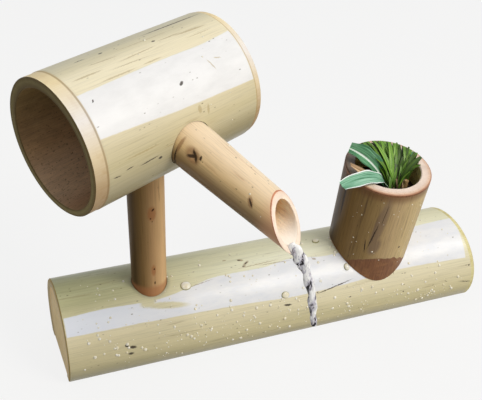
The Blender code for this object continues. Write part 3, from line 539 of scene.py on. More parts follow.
# The node face's colours are lighter than the sawn wall's: painted light on a face turned from the key light.
BASE_NODE_FACE = cut_fibre(
    "sawn base node face", 0.0364, 0.0300, ("#FFE2A6", "#FFE4AE", "#FFDA9C", "#EEC282", "#B98A4E"))
DRUM_CUT = cut_fibre(
    "sawn dry culm wall", 0.0437, 0.0067, ("#66542F", "#84764A", "#6E5E38", "#4A3A1E", "#443418"), 0.7,
    ((0.0, 1.0), (0.40, 0.85), (0.55, 1.15), (0.75, 1.1), (1.0, 1.0)))
DRUM_NODE_FACE = cut_fibre(
    "sawn node face", 0.0437, 0.0300, ("#C4A877", "#CDB282", "#C2A670", "#A98F58", "#8C6D40"))
SPOUT_CUT = cut_fibre(
    "wet pink-cream cane cut", 0.0135, 0.0031, ("#FCE8D4", "#FAE2CE", "#F2CFB6", "#D49678", "#CC9A7A"), 0.40)
CUP_CUT = cut_fibre(
    "pink-cream culm cut", 0.0302, 0.0073, ("#F6E2D2", "#F4DECE", "#EBC9AE", "#AC7658", "#C08A64"), 0.45,
    ((0.0, 1.0), (0.34, 1.0), (0.38, 0.50), (0.42, 0.22), (0.51, 0.20), (0.56, 0.60), (0.60, 1.0)))

# Inner walls: a matt, papery brown, and in the spout a smooth pale one that the water keeps wet. The drum's stops
# round it paint light on the lower inside, which faces up, and shade under its top. The spout's pale colours,
# lightest at the lip, are partly painted light in the shade of the mouth.
BASE_INSIDE = inner_wall("damp culm lining", ("#A08C5E", "#86714A", "#5F4E33", "#3C3020"), 7)
DRUM_INSIDE = inner_wall(
    "brown culm lining", ("#D2AA7C", "#B08A62", "#876644", "#553E2A"), 9, 0.7,
    ((0.0, "#8A7048"), (0.06, "#7A683C"), (0.12, "#74642F"), (0.64, "#8A6A44"), (0.72, "#D6AA86"),
     (0.78, "#FFDAB4"), (0.86, "#FFD8B0"), (0.92, "#D0A87C"), (1.0, "#8A7048")))
SPOUT_INSIDE = inner_wall("wet cane lining", ("#FFF2D0", "#FFDEAE", "#ECBE8C", "#B07E50"), 5, 0.30,
                          lip=(104, 127, "#FFF6EA"))
CUP_INSIDE = inner_wall("olive-brown culm lining", ("#FFF0A8", "#E8D690", "#BCAA6C", "#6A5E34"), 6)

# Scraped bands and edges: bare fibre with a silky sheen, redder where it has weathered. On the drum, the stops
# round the bands paint a highlight on top and shade underneath.
BASE_SHAVED = shaved_fibre("pale sawn edge", ("#E4DCA8", "#D2C68C", "#B9A968"))
DRUM_SHAVED = shaved_fibre(
    "shaved rind edge", ("#EFE0C2", "#DFCBA2", "#CBA878"), 0.5,
    ((0.20, "#E6D09A"), (0.27, "#FAE6B4"), (0.33, "#EEE4D0"), (0.38, "#EAEAF0"), (0.46, "#DCC9A4"),
     (0.54, "#9A7038"), (0.62, "#8E6530"), (0.9, "#BFA877")),
    ((9.0, "#94784C"), (122.2, "#A48A44")))
SPOUT_EDGE = shaved_fibre("reddened cane edge", ("#D99A78", "#C47F5C", "#A8643F"), 0.4)
CUP_SHAVED = shaved_fibre("red-brown shaved foot", ("#8A5E3E", "#68422B", "#9C7048"), 0.5)


# Plants, soil, hose, metal and water

def leaf_green(name, middle, dark, light, margin=None, midrib=None, spread=0.35):
    """Leaf blade: waxy cuticle over green flesh, fine veins along it, and pale margins or a pale midrib on some.

    Real veins are 0.1 mm wide. The blade has about eight drawn ones, so that some show.
    """
    made, tree, shader = finish(name, IOR=1.45, Roughness=0.42, Specular_IOR_Level=0.35)
    uv = add(tree, "ShaderNodeUVMap", uv_map="blade")
    across, along = add(tree, SPLIT, uv).outputs[:2]
    veins = add(tree, NOISE, Vector=add(tree, MAPPING, Vector=uv, Scale=(16.0, 2.2, 1.0)), Scale=1.0, Detail=3.0)
    flesh = add(tree, RAMP, veins, stops=((0.34, dark), (0.50, middle), (0.66, light)))
    tone = add(tree, ATTRIBUTE, attribute_name="blade_tone").outputs["Fac"]
    # The blades' tones differ at random, and the darkest stand in for the shade between blades: painted shade.
    flesh = add(tree, SHADE, spread, flesh, add(tree, RAMP, tone, stops=((0.0, 0.14), (0.5, 0.55), (1.0, 1.0))))
    # Painted shade: each blade darkens towards its foot, down in the tuft.
    flesh = add(tree, SHADE, 1.0, flesh, add(tree, RAMP, along, stops=((0.0, 0.45), (0.35, 0.95), (1.0, 1.0))))
    rib = add(tree, "ShaderNodeMath", across, 0.5, operation="PINGPONG")
    if margin:
        wander = add(tree, TIMES_PLUS, veins, 0.09, rib)
        flesh = add(tree, OVER, add(tree, STEP, wander, 0.085, 0.125, 1.0, 0.0), flesh, margin)
    else:
        flesh = add(tree, OVER, add(tree, STEP, rib, 0.42, 0.47, 0.0, 0.8), flesh, midrib or dark)
    add(tree, shader, Base_Color=flesh, Normal=add(tree, BUMP, Height=veins, Distance=0.00015, Strength=0.4))
    return made


def own_noise(tree, scale, **values):
    """Noise in the piece's own metres, with so many cells to a metre."""
    place = add(tree, "ShaderNodeTexCoord").outputs["Object"]
    return add(tree, NOISE, Vector=place, Scale=scale, **values)


def damp_grit(name, pale, middle, dark, size, rough):
    """Crumbled stuff: broken matt colour at the size of its grains."""
    made, tree, shader = finish(name, IOR=1.4, Roughness=rough)
    grains = own_noise(tree, 1 / size, Detail=4.0, Roughness=0.65)
    add(tree, shader, Base_Color=add(tree, RAMP, grains, stops=((0.3, dark), (0.5, middle), (0.72, pale))),
        Normal=add(tree, BUMP, Height=grains, Distance=size / 5, Strength=0.7))
    return made


def worn_plain(name, pale, dark, size, rough, **values):
    """Moulded or drawn stuff with a faint drift of colour and gloss over it."""
    made, tree, shader = finish(name, **values)
    drift = own_noise(tree, 1 / size, Detail=3.0)
    add(tree, shader, Base_Color=add(tree, RAMP, drift, stops=((0.3, dark), (0.7, pale))),
        Roughness=add(tree, RAMP, drift, stops=((0.3, rough), (0.7, rough + 0.12))))
    return made


def running_water():
    """Falling water whose colours are painted light and shade: a white highlight where a strand swells and near the
    lip, and near black painted reflection in the folds, along its left edge and towards its foot. Where it lets the
    light through, it bends what lies behind.
    """
    made, tree, shader = finish("twisted running water", IOR=1.33, Roughness=0.04)
    strand = add(tree, ATTRIBUTE, attribute_name="strand").outputs["Fac"]
    place = add(tree, "ShaderNodeTexCoord").outputs["Object"]
    scaled = add(tree, MAPPING, Vector=place, Scale=(640.0, 640.0, 210.0))
    threads = add(tree, NOISE, Vector=scaled, Scale=1.0, Detail=3.0, Distortion=0.8)
    level = add(tree, TIMES_PLUS, add(tree, TIMES_PLUS, threads, 2.6, strand), 0.40, -0.275)
    add(tree, shader,
        Base_Color=add(tree, RAMP, level, stops=(
            (0.28, "#0A080C"), (0.33, "#3C363E"), (0.36, "#CCC8D4"), (0.44, "#ECEAF8"), (0.54, "#FFFFFF"))),
        Transmission_Weight=add(tree, RAMP, level, stops=((0.30, 0.05), (0.38, 0.45), (0.50, 0.35), (0.62, 0.05))),
        Normal=add(tree, BUMP, Height=threads, Distance=0.0006, Strength=0.5))
    return made


def standing_water(name, rim=None):
    """Standing drops, glossy, whose crowns catch the light.

    Clear ones of a few millimetres would not show in the render, so they are milky and pale, which paints their
    highlights into them. rim is the colour at a large drop's foot, a painted reflection of the dark rind round it,
    where it is seen edge on.
    """
    made, tree, shader = finish(name, IOR=1.33, Roughness=0.06, Transmission_Weight=0.12)
    colour = add(tree, RAMP, own_noise(tree, 300.0), stops=((0.3, "#F4EACA"), (0.7, "#FFFDF4")))
    if rim:
        crown = add(tree, ATTRIBUTE, attribute_name="drop_crown").outputs["Fac"]
        colour = add(tree, OVER, add(tree, STEP, crown, 0.25, 0.62, 1.0, 0.0), colour, rim)
    add(tree, shader, Base_Color=colour)
    return made


# Leaves are waxy, with a soft sheen along them. Dried blades keep the veins and lose the green.
GRASS_LEAF = leaf_green("waxy grass blade", "#72A038", "#4A761C", "#9EC456", spread=1.0)
DRY_LEAF = leaf_green("dried grass blade", "#C4A480", "#987654", "#E4CCA8", spread=0.8)
STRIPED_LEAF = leaf_green("blue-green leaf with pale margins", "#74AC8C", "#38704E", "#A8D4BA", "#F2F8F6")
# The back leaf's pale midrib is its own; on one narrow blade the same midrib is a painted highlight.
DARK_LEAF = leaf_green("dark green leaf with a pale midrib", "#447C54", "#22502F", "#6EA87C", midrib="#EAF4EA")
# Soil, bark and wood: matt and broken. The last two numbers are the grains' size in metres and the roughness.
MIX = damp_grit("damp planting mix", "#6B5442", "#3E2E22", "#1D150F", 0.0016, 0.85)
BARK = damp_grit("brown bark crumbs", "#9A6F52", "#6E4A34", "#3A261A", 0.0012, 0.75)
STEM_BARK = damp_grit("dry tan stem", "#C9AC80", "#A8875C", "#75583A", 0.0010, 0.70)
PEG_CANE = damp_grit("split cane peg", "#DCC08C", "#C4A26B", "#9B7B48", 0.0009, 0.60)
# Silicone is glossy and lets the light through, rubber is dull, moulded plastic shines softly, and zinc is bright
HOSE = worn_plain("clear silicone hose", "#E8EEEC", "#D2DAD6", 0.012, 0.22, IOR=1.41, Transmission_Weight=0.75)
RUBBER = worn_plain("black rubber", "#2A2A2B", "#151516", 0.004, 0.62, IOR=1.52)
PLASTIC = worn_plain("black moulded plastic", "#2E2E30", "#19191A", 0.006, 0.38, IOR=1.49)
STEEL = worn_plain("zinc-plated screw steel", "#C8C6BE", "#9F9E98", 0.002, 0.24, Metallic=1.0)
WATER = running_water()
BEAD = standing_water("fine water bead")
DROP = standing_water("clear water drop", "#A6A26C")


# Base culm

def base_end(radius, lift=0.0):
    """The sawn end at a radius. It leans, so its height along the culm changes round it."""
    turn, lean = BASE_END_TURN, BASE_END_LEAN

    def point(angle):
        sideways = math.cos(lean) * math.sin(turn) * math.cos(angle) + math.sin(lean) * math.sin(angle)
        return radius, BASE_LENGTH - radius * sideways / (math.cos(lean) * math.cos(turn)) + lift
    return point


def base_outer(height):
    return lerp(BASE_LEFT_RADIUS, BASE_RIGHT_RADIUS, height / BASE_LENGTH)


def screw_places():
    return [CUP_PLACE @ Matrix.Translation((side, 0, 0)) for side in (-SCREW_ASIDE, SCREW_ASIDE)]


def screw_seat():
    """How far under crown height, along the cup's axis, the screw heads seat."""
    radius = base_outer(BASE_LENGTH - CUP_FROM_RIGHT)
    underside = BASE_AXIS_HEIGHT + math.sqrt((radius - BASE_WALL) ** 2 - AHEAD_OF_AXIS**2)
    return (underside - CROWN_HEIGHT) / math.cos(CUP_LEAN) + SCREW_SEAT_LIFT


def make_base():
    left_inner, right_inner = BASE_LEFT_RADIUS - BASE_WALL, BASE_RIGHT_RADIUS - BASE_WALL
    node_dip, scraped = 0.0004, 0.0030
    shape = turned_culm([
        ((0, node_dip), NODE_FACE, 3),
        ((left_inner, node_dip), CUT, 1),
        ((left_inner + EASED, 0), CUT, 2),
        ((BASE_LEFT_RADIUS - EASED, 0), CUT, 1),
        ((BASE_LEFT_RADIUS, EASED), SKIN, 110),
        (base_end(BASE_RIGHT_RADIUS, -scraped), SHAVED, 2),
        (base_end(BASE_RIGHT_RADIUS, -EASED), CUT, 1),
        (base_end(BASE_RIGHT_RADIUS - EASED), CUT, 2),
        (base_end(right_inner + EASED), CUT, 1),
        (base_end(right_inner, -EASED), INSIDE, 60),
        ((left_inner, BASE_NODE), INSIDE, 3),
        ((0, BASE_NODE), INSIDE, 1),
    ], 176)
    weathered(shape, base_outer, 0.00022, 3.0)
    below = bmesh.ops.bisect_plane(
        shape, geom=shape.verts[:] + shape.edges[:] + shape.faces[:], dist=1e-7,
        plane_co=(0, -BASE_AXIS_HEIGHT, 0), plane_no=(0, -1, 0), clear_outer=True)
    rim = [item for item in below["geom_cut"] if isinstance(item, bmesh.types.BMEdge)]
    planed = bmesh.ops.triangle_fill(shape, edges=rim, use_beauty=True, use_dissolve=False)
    for face in planed["geom"]:
        if isinstance(face, bmesh.types.BMFace):
            face.material_index = CUT
    bmesh.ops.recalc_face_normals(shape, faces=shape.faces)
    finishes = [BASE_SKIN, BASE_CUT, BASE_INSIDE, BASE_SHAVED, BASE_NODE_FACE]
    piece = made_mesh("base_culm_rind", shape, BASE_PLACE, finishes)
    bore(piece, rod(POST_FOOT_RADIUS + GAP, BASE_AXIS_HEIGHT, OVER_CROWN), POST_PLACE)
    seat, hole_top, seat_reach = screw_seat(), 0.008, 0.006
    for place in screw_places():
        bore(piece, [(0, seat - seat_reach), (SCREW_SEAT_RADIUS, seat - seat_reach), (SCREW_SEAT_RADIUS, seat),
                     (SCREW_HOLE, seat), (SCREW_HOLE, hole_top), (0, hole_top)], place, 32)
    return settled(piece, BASE_PLACE, "base", "base_bamboo", "base_culm")


# Post, pegged to the drum and stopped under the base's wall

def peg_places():
    """Frames across the post at the height of each pair of pegs."""
    forward = AHEAD_OF_AXIS + (POST_FOOT_RADIUS + PEG_REACH) * math.sin(SWIVEL_LIMIT) + PEG_RADIUS
    low = BASE_AXIS_HEIGHT + math.sqrt((base_outer(POST_FROM_LEFT) - BASE_WALL) ** 2 - forward**2)
    low -= 2 * GAP + PEG_RADIUS
    climb = (POST_TOP_RADIUS + PEG_REACH) * math.tan(DRUM_CLIMB)
    high = POST_TAPER_HIGH + DRUM_WALL + climb + PEG_RADIUS + 2 * GAP
    made = []
    for height, turn in ((low, 0.0), (low, math.pi), (high, DRUM_HEADING), (high, DRUM_HEADING + math.pi)):
        out = Vector((math.cos(turn), math.sin(turn), 0))
        side = out.cross(Vector((0, 0, 1)))
        made.append(POST_PLACE @ placed((0, 0, height), side, out.cross(side), out))
    return made


def make_post():
    shape = turned_culm([
        ((POST_FOOT_RADIUS - EASED, POST_LOW), CUT, 1),
        ((POST_FOOT_RADIUS, POST_LOW + EASED), SKIN, 8),
        ((POST_FOOT_RADIUS, POST_TAPER_LOW), SKIN, 60),
        ((POST_TOP_RADIUS, POST_TAPER_HIGH), SKIN, 6),
        ((POST_TOP_RADIUS, POST_HIGH - EASED), CUT, 1),
        ((POST_TOP_RADIUS - EASED, POST_HIGH), CUT, 2),
        ((POST_TOP_RADIUS - POST_WALL, POST_HIGH), INSIDE, 40),
        ((POST_FOOT_RADIUS - POST_WALL, POST_LOW), CUT, 2),
    ], 96)
    weathered(shape, lambda height: POST_FOOT_RADIUS, 0.00015, 8.0)
    piece = made_mesh("post_culm_rind", shape, POST_PLACE, [POST_SKIN, SPOUT_CUT, SPOUT_INSIDE])
    for place in peg_places():
        bore(piece, rod(PEG_RADIUS + GAP, 0, POST_TOP_RADIUS + PEG_REACH), place, 24)
    settled(piece, POST_PLACE, "head", "post_bamboo", "post_culm")


# Drum

def drum_outer(height):
    return lerp(DRUM_MOUTH_RADIUS, DRUM_FAR_RADIUS, height / DRUM_LENGTH)


def drum_mouth_inner(angle, lift=0.0):
    """Radius of the bore at the mouth. The wall grew thinner low in front, by up to 2.4 mm."""
    thin = 0.0024 * (0.5 + 0.5 * math.cos(angle - math.radians(240)))
    return DRUM_MOUTH_RADIUS - SHAVED_DEPTH - DRUM_WALL + thin + lift


def make_drum():
    shaved, far = DRUM_MOUTH_RADIUS - SHAVED_DEPTH, DRUM_FAR_RADIUS - SHAVED_DEPTH
    mouth_inner, far_inner = shaved - DRUM_WALL, DRUM_FAR_RADIUS - DRUM_WALL
    bevel, far_band, node = 0.0005, DRUM_LENGTH - SHAVED_FAR_BAND, DRUM_LENGTH - DRUM_NODE
    outline = [
        (lambda angle: (drum_mouth_inner(angle), EASED), CUT, 1),
        (lambda angle: (drum_mouth_inner(angle, EASED), 0), CUT, 4),
        ((shaved - EASED, 0), CUT, 1),
        ((shaved, EASED), SHAVED, 6),
        ((shaved, SHAVED_BAND), SHAVED, 1),
        ((drum_outer(SHAVED_BAND + bevel), SHAVED_BAND + bevel), SKIN, 74),
        ((drum_outer(far_band - bevel), far_band - bevel), SHAVED, 1),
        ((far, far_band), SHAVED, 2),
    ]
    for step in range(9):
        angle = math.pi / 2 * step / 8
        spot = (far - FAR_ROUND * (1 - math.cos(angle)), DRUM_LENGTH - FAR_ROUND * (1 - math.sin(angle)))
        outline.append((spot, SHAVED, 1) if step < 8 else (spot, CUT, 3))
    outline += [
        ((far_inner, DRUM_LENGTH), NODE_FACE, 3),
        ((far_inner - 0.0030, DRUM_LENGTH - 0.0010), NODE_FACE, 6),
        ((0, DRUM_LENGTH - 0.0014), INSIDE, 1),
        ((0, node), INSIDE, 8),
        ((far_inner - 0.0020, node), INSIDE, 2),
        ((far_inner, node - 0.0015), INSIDE, 36),
        ((lerp(mouth_inner, far_inner, 0.25), DRUM_LENGTH * 0.25), INSIDE, 16),
    ]
    shape = turned_culm(outline, 192)
    weathered(shape, drum_outer, 0.00028, 5.0)
    finishes = [DRUM_SKIN, DRUM_CUT, DRUM_INSIDE, DRUM_SHAVED, DRUM_NODE_FACE]
    piece = made_mesh("drum_culm_rind", shape, DRUM_PLACE, finishes)
    bore(piece, rod(POST_TOP_RADIUS + GAP, UNDER_DRUM, POST_HIGH), POST_PLACE)
    bore(piece, rod(SPOUT_ROOT_RADIUS + GAP, SPOUT_LOW, BEFORE_DRUM), SPOUT_PLACE)
    return settled(piece, DRUM_PLACE, "head", "drum_bamboo", "drum_culm")


# Spout

def spout_radius(height):
    share = (height - SPOUT_SHOULDER) / (SPOUT_MIDDLE - SPOUT_SHOULDER)
    return lerp(SPOUT_ROOT_RADIUS, SPOUT_MOUTH_RADIUS, max(share, 0))


def spout_mouth(inset, lift=0.0):
    """Where the slanting cut meets the wall, this far in from the rind."""
    taper = (SPOUT_MOUTH_RADIUS - SPOUT_ROOT_RADIUS) / (SPOUT_MIDDLE - SPOUT_SHOULDER)
    level = SPOUT_ROOT_RADIUS - inset - taper * SPOUT_SHOULDER

    def point(angle):
        across = math.sin(-SPOUT_TWIST) * math.cos(angle) + math.cos(SPOUT_TWIST) * math.sin(angle)
        slope = math.tan(SPOUT_SLANT) * across
        height = (SPOUT_MIDDLE - slope * level) / (1 + slope * taper)
        return level + taper * height, height + lift
    return point


def make_spout():
    inner = SPOUT_ROOT_RADIUS - SPOUT_WALL
    shape = turned_culm([
        ((SPOUT_ROOT_RADIUS - EASED, SPOUT_LOW), CUT, 1),
        ((SPOUT_ROOT_RADIUS, SPOUT_LOW + EASED), SKIN, 12),
        ((SPOUT_ROOT_RADIUS, SPOUT_SHOULDER), SKIN, 60),
        (spout_mouth(0, -0.0014), SHAVED, 2),
        (spout_mouth(0.0001, -0.0004), CUT, 1),
        (spout_mouth(EASED), CUT, 4),
        (spout_mouth(SPOUT_WALL - EASED / 2), CUT, 1),
        (spout_mouth(SPOUT_WALL, -EASED), INSIDE, 50),
        ((inner, SPOUT_SHOULDER), INSIDE, 8),
        ((inner, SPOUT_LOW), CUT, 2),
    ], 112)
    weathered(shape, spout_radius, 0.00015, 11.0)
    # The bud scar is a dip in the rind
    scar_height, scar_angle, scar_half_width, scar_half_length, scar_depth = (
        0.0570, math.radians(151.5), 0.0032, 0.0046, 0.0010)
    for vert in shape.verts:
        radius = math.hypot(vert.co.x, vert.co.y)
        around = (math.atan2(vert.co.y, vert.co.x) - scar_angle) * radius
        away = math.hypot(around / scar_half_width, (vert.co.z - scar_height) / scar_half_length)
        if away < 1 and radius >= spout_radius(vert.co.z) - 0.0008:
            press(vert, scar_depth * (1 - away**2) * (0.75 + 0.5 * noise.noise(vert.co * 900)))
    return whole_piece("spout_culm_rind", shape, SPOUT_PLACE, [SPOUT_SKIN, SPOUT_CUT, SPOUT_INSIDE, SPOUT_EDGE],
                       "spout", "spout_bamboo", "spout_culm")


# Cup

def cup_outer(height):
    return lerp(CUP_FOOT_RADIUS, CUP_RIM_RADIUS, height / CUP_HEIGHT)


def coped_foot(angle, inset=0):
    """Where the cup's wall, this far in from its rind, comes down on the round of the base."""
    low, high = -0.032, 0.030
    back = BASE_PLACE.inverted() @ CUP_PLACE
    for _ in range(40):
        middle = (low + high) / 2
        radius = cup_outer(middle) - inset
        point = back @ Vector((radius * math.cos(angle), radius * math.sin(angle), middle))
        if math.hypot(point.x, point.y) < base_outer(point.z) + GAP:
            low = middle
        else:
            high = middle
    return cup_outer(high) - inset, high


def foot_patch(angle, lift=0.0):
    """The upper edge of the shaved patch at the front of the foot, or the rind that stands up beside it."""
    turn = math.degrees(angle) % 360
    arch = 0.0032 - 0.0075 * ((turn - 262) / 42) ** 2 + 0.0016 * noise.noise(Vector((turn / 7.5, 3.0, 0)))
    height = max(arch, coped_foot(angle)[1] + 0.0002) + lift
    return cup_outer(height) - (0 if lift else 0.0001), height


def make_cup():
    inner = CUP_RIM_RADIUS - CUP_WALL
    shape = turned_culm([
        (coped_foot, SHAVED, 6),
        (foot_patch, SHAVED, 1),
        (lambda angle: foot_patch(angle, 0.0003), SKIN, 56),
        ((CUP_RIM_RADIUS, CUP_HEIGHT - 0.0022), SHAVED, 2),
        ((CUP_RIM_RADIUS, CUP_HEIGHT - EASED), CUT, 1),
        ((CUP_RIM_RADIUS - EASED, CUP_HEIGHT), CUT, 5),
        ((inner + EASED, CUP_HEIGHT), CUT, 1),
        ((inner, CUP_HEIGHT - EASED), INSIDE, 24),
        ((cup_outer(CUP_FLOOR) - CUP_WALL, CUP_FLOOR), INSIDE, 3),
        ((0, CUP_FLOOR), INSIDE, 1),
        ((0, CUP_UNDER_NODE), INSIDE, 3),
        ((cup_outer(CUP_UNDER_NODE) - CUP_WALL, CUP_UNDER_NODE), INSIDE, 8),
        (lambda angle: coped_foot(angle, CUP_WALL), CUT, 3),
    ], 144)
    weathered(shape, cup_outer, 0.00025, 14.0)
    piece = made_mesh("cup_culm_rind", shape, CUP_PLACE, [CUP_SKIN, CUP_CUT, CUP_INSIDE, CUP_SHAVED])
    for place in screw_places():
        bore(piece, rod(SCREW_HOLE, screw_seat(), CUP_UNDER_NODE + 0.0058), place, 24)
    return settled(piece, CUP_PLACE, "base", "cup_bamboo", "cup_culm")


# Pegs, screws and the water line. Rows are radius and height, some with the number of strips that follow.

def make_pegs():
    names = ("stop_peg_right", "stop_peg_left", "drum_peg_far", "drum_peg_near")
    radii = (POST_FOOT_RADIUS, POST_FOOT_RADIUS, POST_TOP_RADIUS, POST_TOP_RADIUS)
    for name, radius, place in zip(names, radii, peg_places()):
        low, high = radius - POST_WALL - 0.0004, radius + PEG_REACH
        rows = [(0, low), (0.0010, low), (PEG_RADIUS, low + 0.0004, 6), (PEG_RADIUS, high - 0.0005), (0.0009, high),
                (0, high)]
        whole_piece(name + "_cane", turned_culm(runs(rows), 20), place, [PEG_CANE], "head", "peg_cane", name)


def make_screws():
    """Pan heads with a drive hole, and closed rings in place of a thread."""
    top = screw_seat() - GAP
    tip = CUP_UNDER_NODE + 0.0055
    rows = [(0, top - 0.0016), (0.0008, top - 0.0016), (0.0010, top - 0.0022, 2), (0.0031, top - 0.0021),
            (0.0038, top - 0.0015), (0.0038, top, 2), (0.0014, top)]
    height = top + 0.0020
    while height < tip - 0.0016:
        rows += [(0.00125, height), (0.0018, height + 0.0004)]
        height += 0.0009
    rows.append((0, tip))
    for name, place in zip(("cup_screw_left", "cup_screw_right"), screw_places()):
        whole_piece(name + "_steel", turned_culm(runs(rows), 28), place, [STEEL], "base", "screw_steel", name)


def cubic(controls, share):
    """A point on the cubic curve of four control points."""
    rest = 1 - share
    weights = (rest**3, 3 * rest**2 * share, 3 * rest * share**2, share**3)
    return sum((point * weight for point, weight in zip(controls, weights)), Vector((0, 0, 0)))


def make_hose():
    """The riser hose goes up the post, bends in the drum and ends past the bung in the spout's root."""
    spout_start, post = SPOUT_PLACE.translation, POST_PLACE.translation
    bend_start = Vector((post.x, post.y, spout_start.z - HOSE_BEND))
    bend_end = spout_start + SPOUT_AXIS * HOSE_BEND
    controls = (bend_start, Vector((post.x, post.y, spout_start.z)), spout_start, bend_end)
    path = [Vector((post.x, post.y, HOSE_LOW)).lerp(bend_start, step / 12) for step in range(12)]
    path += [cubic(controls, step / 28) for step in range(29)]
    path += [bend_end.lerp(spout_start + SPOUT_AXIS * HOSE_END, step / 4) for step in range(1, 5)]
    shape = bmesh.new()
    side_axis = Vector((0, 1, 0))
    outer, inner = [], []
    for index, point in enumerate(path):
        run = (path[min(index + 1, len(path) - 1)] - path[max(index - 1, 0)]).normalized()
        side_axis = (side_axis - run * side_axis.dot(run)).normalized()
        other_axis = run.cross(side_axis)
        for radius, rings in ((HOSE_RADIUS, outer), (HOSE_BORE, inner)):
            angles = [math.tau * side / 28 for side in range(28)]
            spokes = [side_axis * math.cos(angle) + other_axis * math.sin(angle) for angle in angles]
            rings.append([shape.verts.new(point + spoke * radius) for spoke in spokes])
    rings = outer + inner[::-1]
    bridged(shape, rings, [SKIN] * len(rings))
    bmesh.ops.recalc_face_normals(shape, faces=shape.faces)
    piece = made_mesh("riser_hose_silicone", shape, Matrix.Identity(4), [HOSE])
    settled(piece, POST_PLACE, "head", "hose_silicone", "riser_hose")


def make_tail_and_bung():
    stub, bore_radius, low, high, flange, barb_step = 0.0037, 0.0027, 0.0030, 0.0283, 0.0140, 0.0030
    rows = [(stub - 0.0004, low)]
    for start in (low, low + barb_step, low + 2 * barb_step):
        rows += [(stub + 0.0004, start + 0.0022), (stub - 0.0003, start + 0.0024)]
    rows += [(stub, flange), (0.0058, flange), (0.0064, flange + 0.0005), (0.0064, flange + 0.0015),
             (0.0058, flange + 0.0020), (stub, flange + 0.0020, 4), (stub - 0.0003, high), (bore_radius, high, 4),
             (bore_radius, low)]
    whole_piece("pump_hose_tail_plastic", turned_culm(runs(rows), 32), POST_PLACE, [PLASTIC],
                "head", "tail_plastic", "pump_hose_tail")
    outer, inner, low, high = SPOUT_ROOT_RADIUS - SPOUT_WALL - GAP, 0.0053, 0.03254, 0.04654
    rows = [(outer - 0.0007, low), (outer, low + 0.0007, 6), (outer, high - 0.0007), (outer - 0.0007, high, 2),
            (inner, high, 6), (inner, low, 2)]
    whole_piece("spout_bung_rubber", turned_culm(runs(rows), 48), SPOUT_PLACE, [RUBBER],
                "spout", "bung_rubber", "spout_bung")


# Planting

TUFT = Vector((0.0050, -0.0050, MIX_TOP + GAP))
LEFT_FOOT, RIGHT_FOOT = (TUFT.x - 0.0020, TUFT.y), (TUFT.x + 0.0052, TUFT.y - 0.0012)
FRONT_FOOT = (RIGHT_FOOT[0] - 0.0012, RIGHT_FOOT[1] - 0.0030)
BORE_RADIUS = CUP_RIM_RADIUS - CUP_WALL
# The rings that the named blades grow from, a grass blade's width and half a leaf's thickness at its middle
GRASS_RING, BROAD_RING, GRASS_WIDTH, LEAF_HALF = 0.0042, 0.0070, 0.0032, 0.00022
# Heading in degrees, then the curve's three later points as shares of the bore's radius, outward and upward
GRASS_SHARES = (
    (358, ((0.05, 0.45), (0.22, 0.68), (0.54, 0.74))),
    (26, ((0.05, 0.45), (0.26, 0.80), (0.68, 0.88))),
    (47, ((0.06, 0.50), (0.32, 0.86), (0.80, 0.86))),
    (68, ((0.06, 0.50), (0.38, 0.84), (0.96, 0.80))),
    (89, ((0.06, 0.50), (0.38, 0.82), (1.02, 0.78))),
    (110, ((0.05, 0.50), (0.40, 0.86), (1.04, 0.84))),
    (131, ((0.06, 0.45), (0.40, 0.78), (0.98, 0.78))),
    (300, ((0.02, 0.35), (0.08, 0.60), (0.18, 0.78))),
)
# The same for the two broad leaves, with width, fold, foot, tip, where each is fullest, and roll
BROAD_LEAVES = (
    ("striped_leaf_over_rim", STRIPED_LEAF, 195, ((0.20, 0.64), (0.92, 0.88), (1.92, 0.80)),
     0.0112, 0.13, 0.30, 0.66, 0.66, -0.25),
    ("striped_leaf_back", DARK_LEAF, 145, ((0.22, 0.40), (0.62, 0.80), (1.26, 0.92)),
     0.0142, 0.26, 0.36, 0.58, 0.66, -0.35),
)
CAMERA_SPOT = Vector((-0.214309, -0.501483, 0.462633))
ACROSS = 4


def blade_controls(degrees, ring_radius, shares):
    """The curve of a blade that grows from a ring about the middle of the tuft."""
    turn = math.radians(degrees)
    outward = Vector((math.cos(turn), math.sin(turn), 0))
    foot = TUFT + outward * ring_radius
    foot.z += 0.0007
    return [foot] + [foot + outward * BORE_RADIUS * out + Vector((0, 0, BORE_RADIUS * up)) for out, up in shares]


def blade_to_outline(chance, degrees, start, short=1.0, nearer=(0.005, 0.015)):
    """The curve of a blade whose tip meets the outline that the cup's rim draws in the photo."""
    turn = math.radians(degrees)
    rim = Vector((CUP_RIM_RADIUS * math.cos(turn), CUP_RIM_RADIUS * math.sin(turn), CUP_HEIGHT))
    to_camera = (CUP_PLACE.inverted() @ CAMERA_SPOT - rim).normalized()
    astray = 0.0024
    foot = Vector((*[part + chance.uniform(-astray, astray) for part in start], TUFT.z + 0.0004))
    reach = (rim * 0.99 + to_camera * chance.uniform(*nearer) - foot) * short
    bow = chance.uniform(0.10, 0.34) if degrees > 45 else chance.uniform(0.0, 0.10)
    return [foot, foot + Vector((reach.x * bow, reach.y * bow, reach.z * 0.45)),
            foot + Vector((reach.x * (0.4 + bow), reach.y * (0.4 + bow), reach.z * 0.90)), foot + reach]


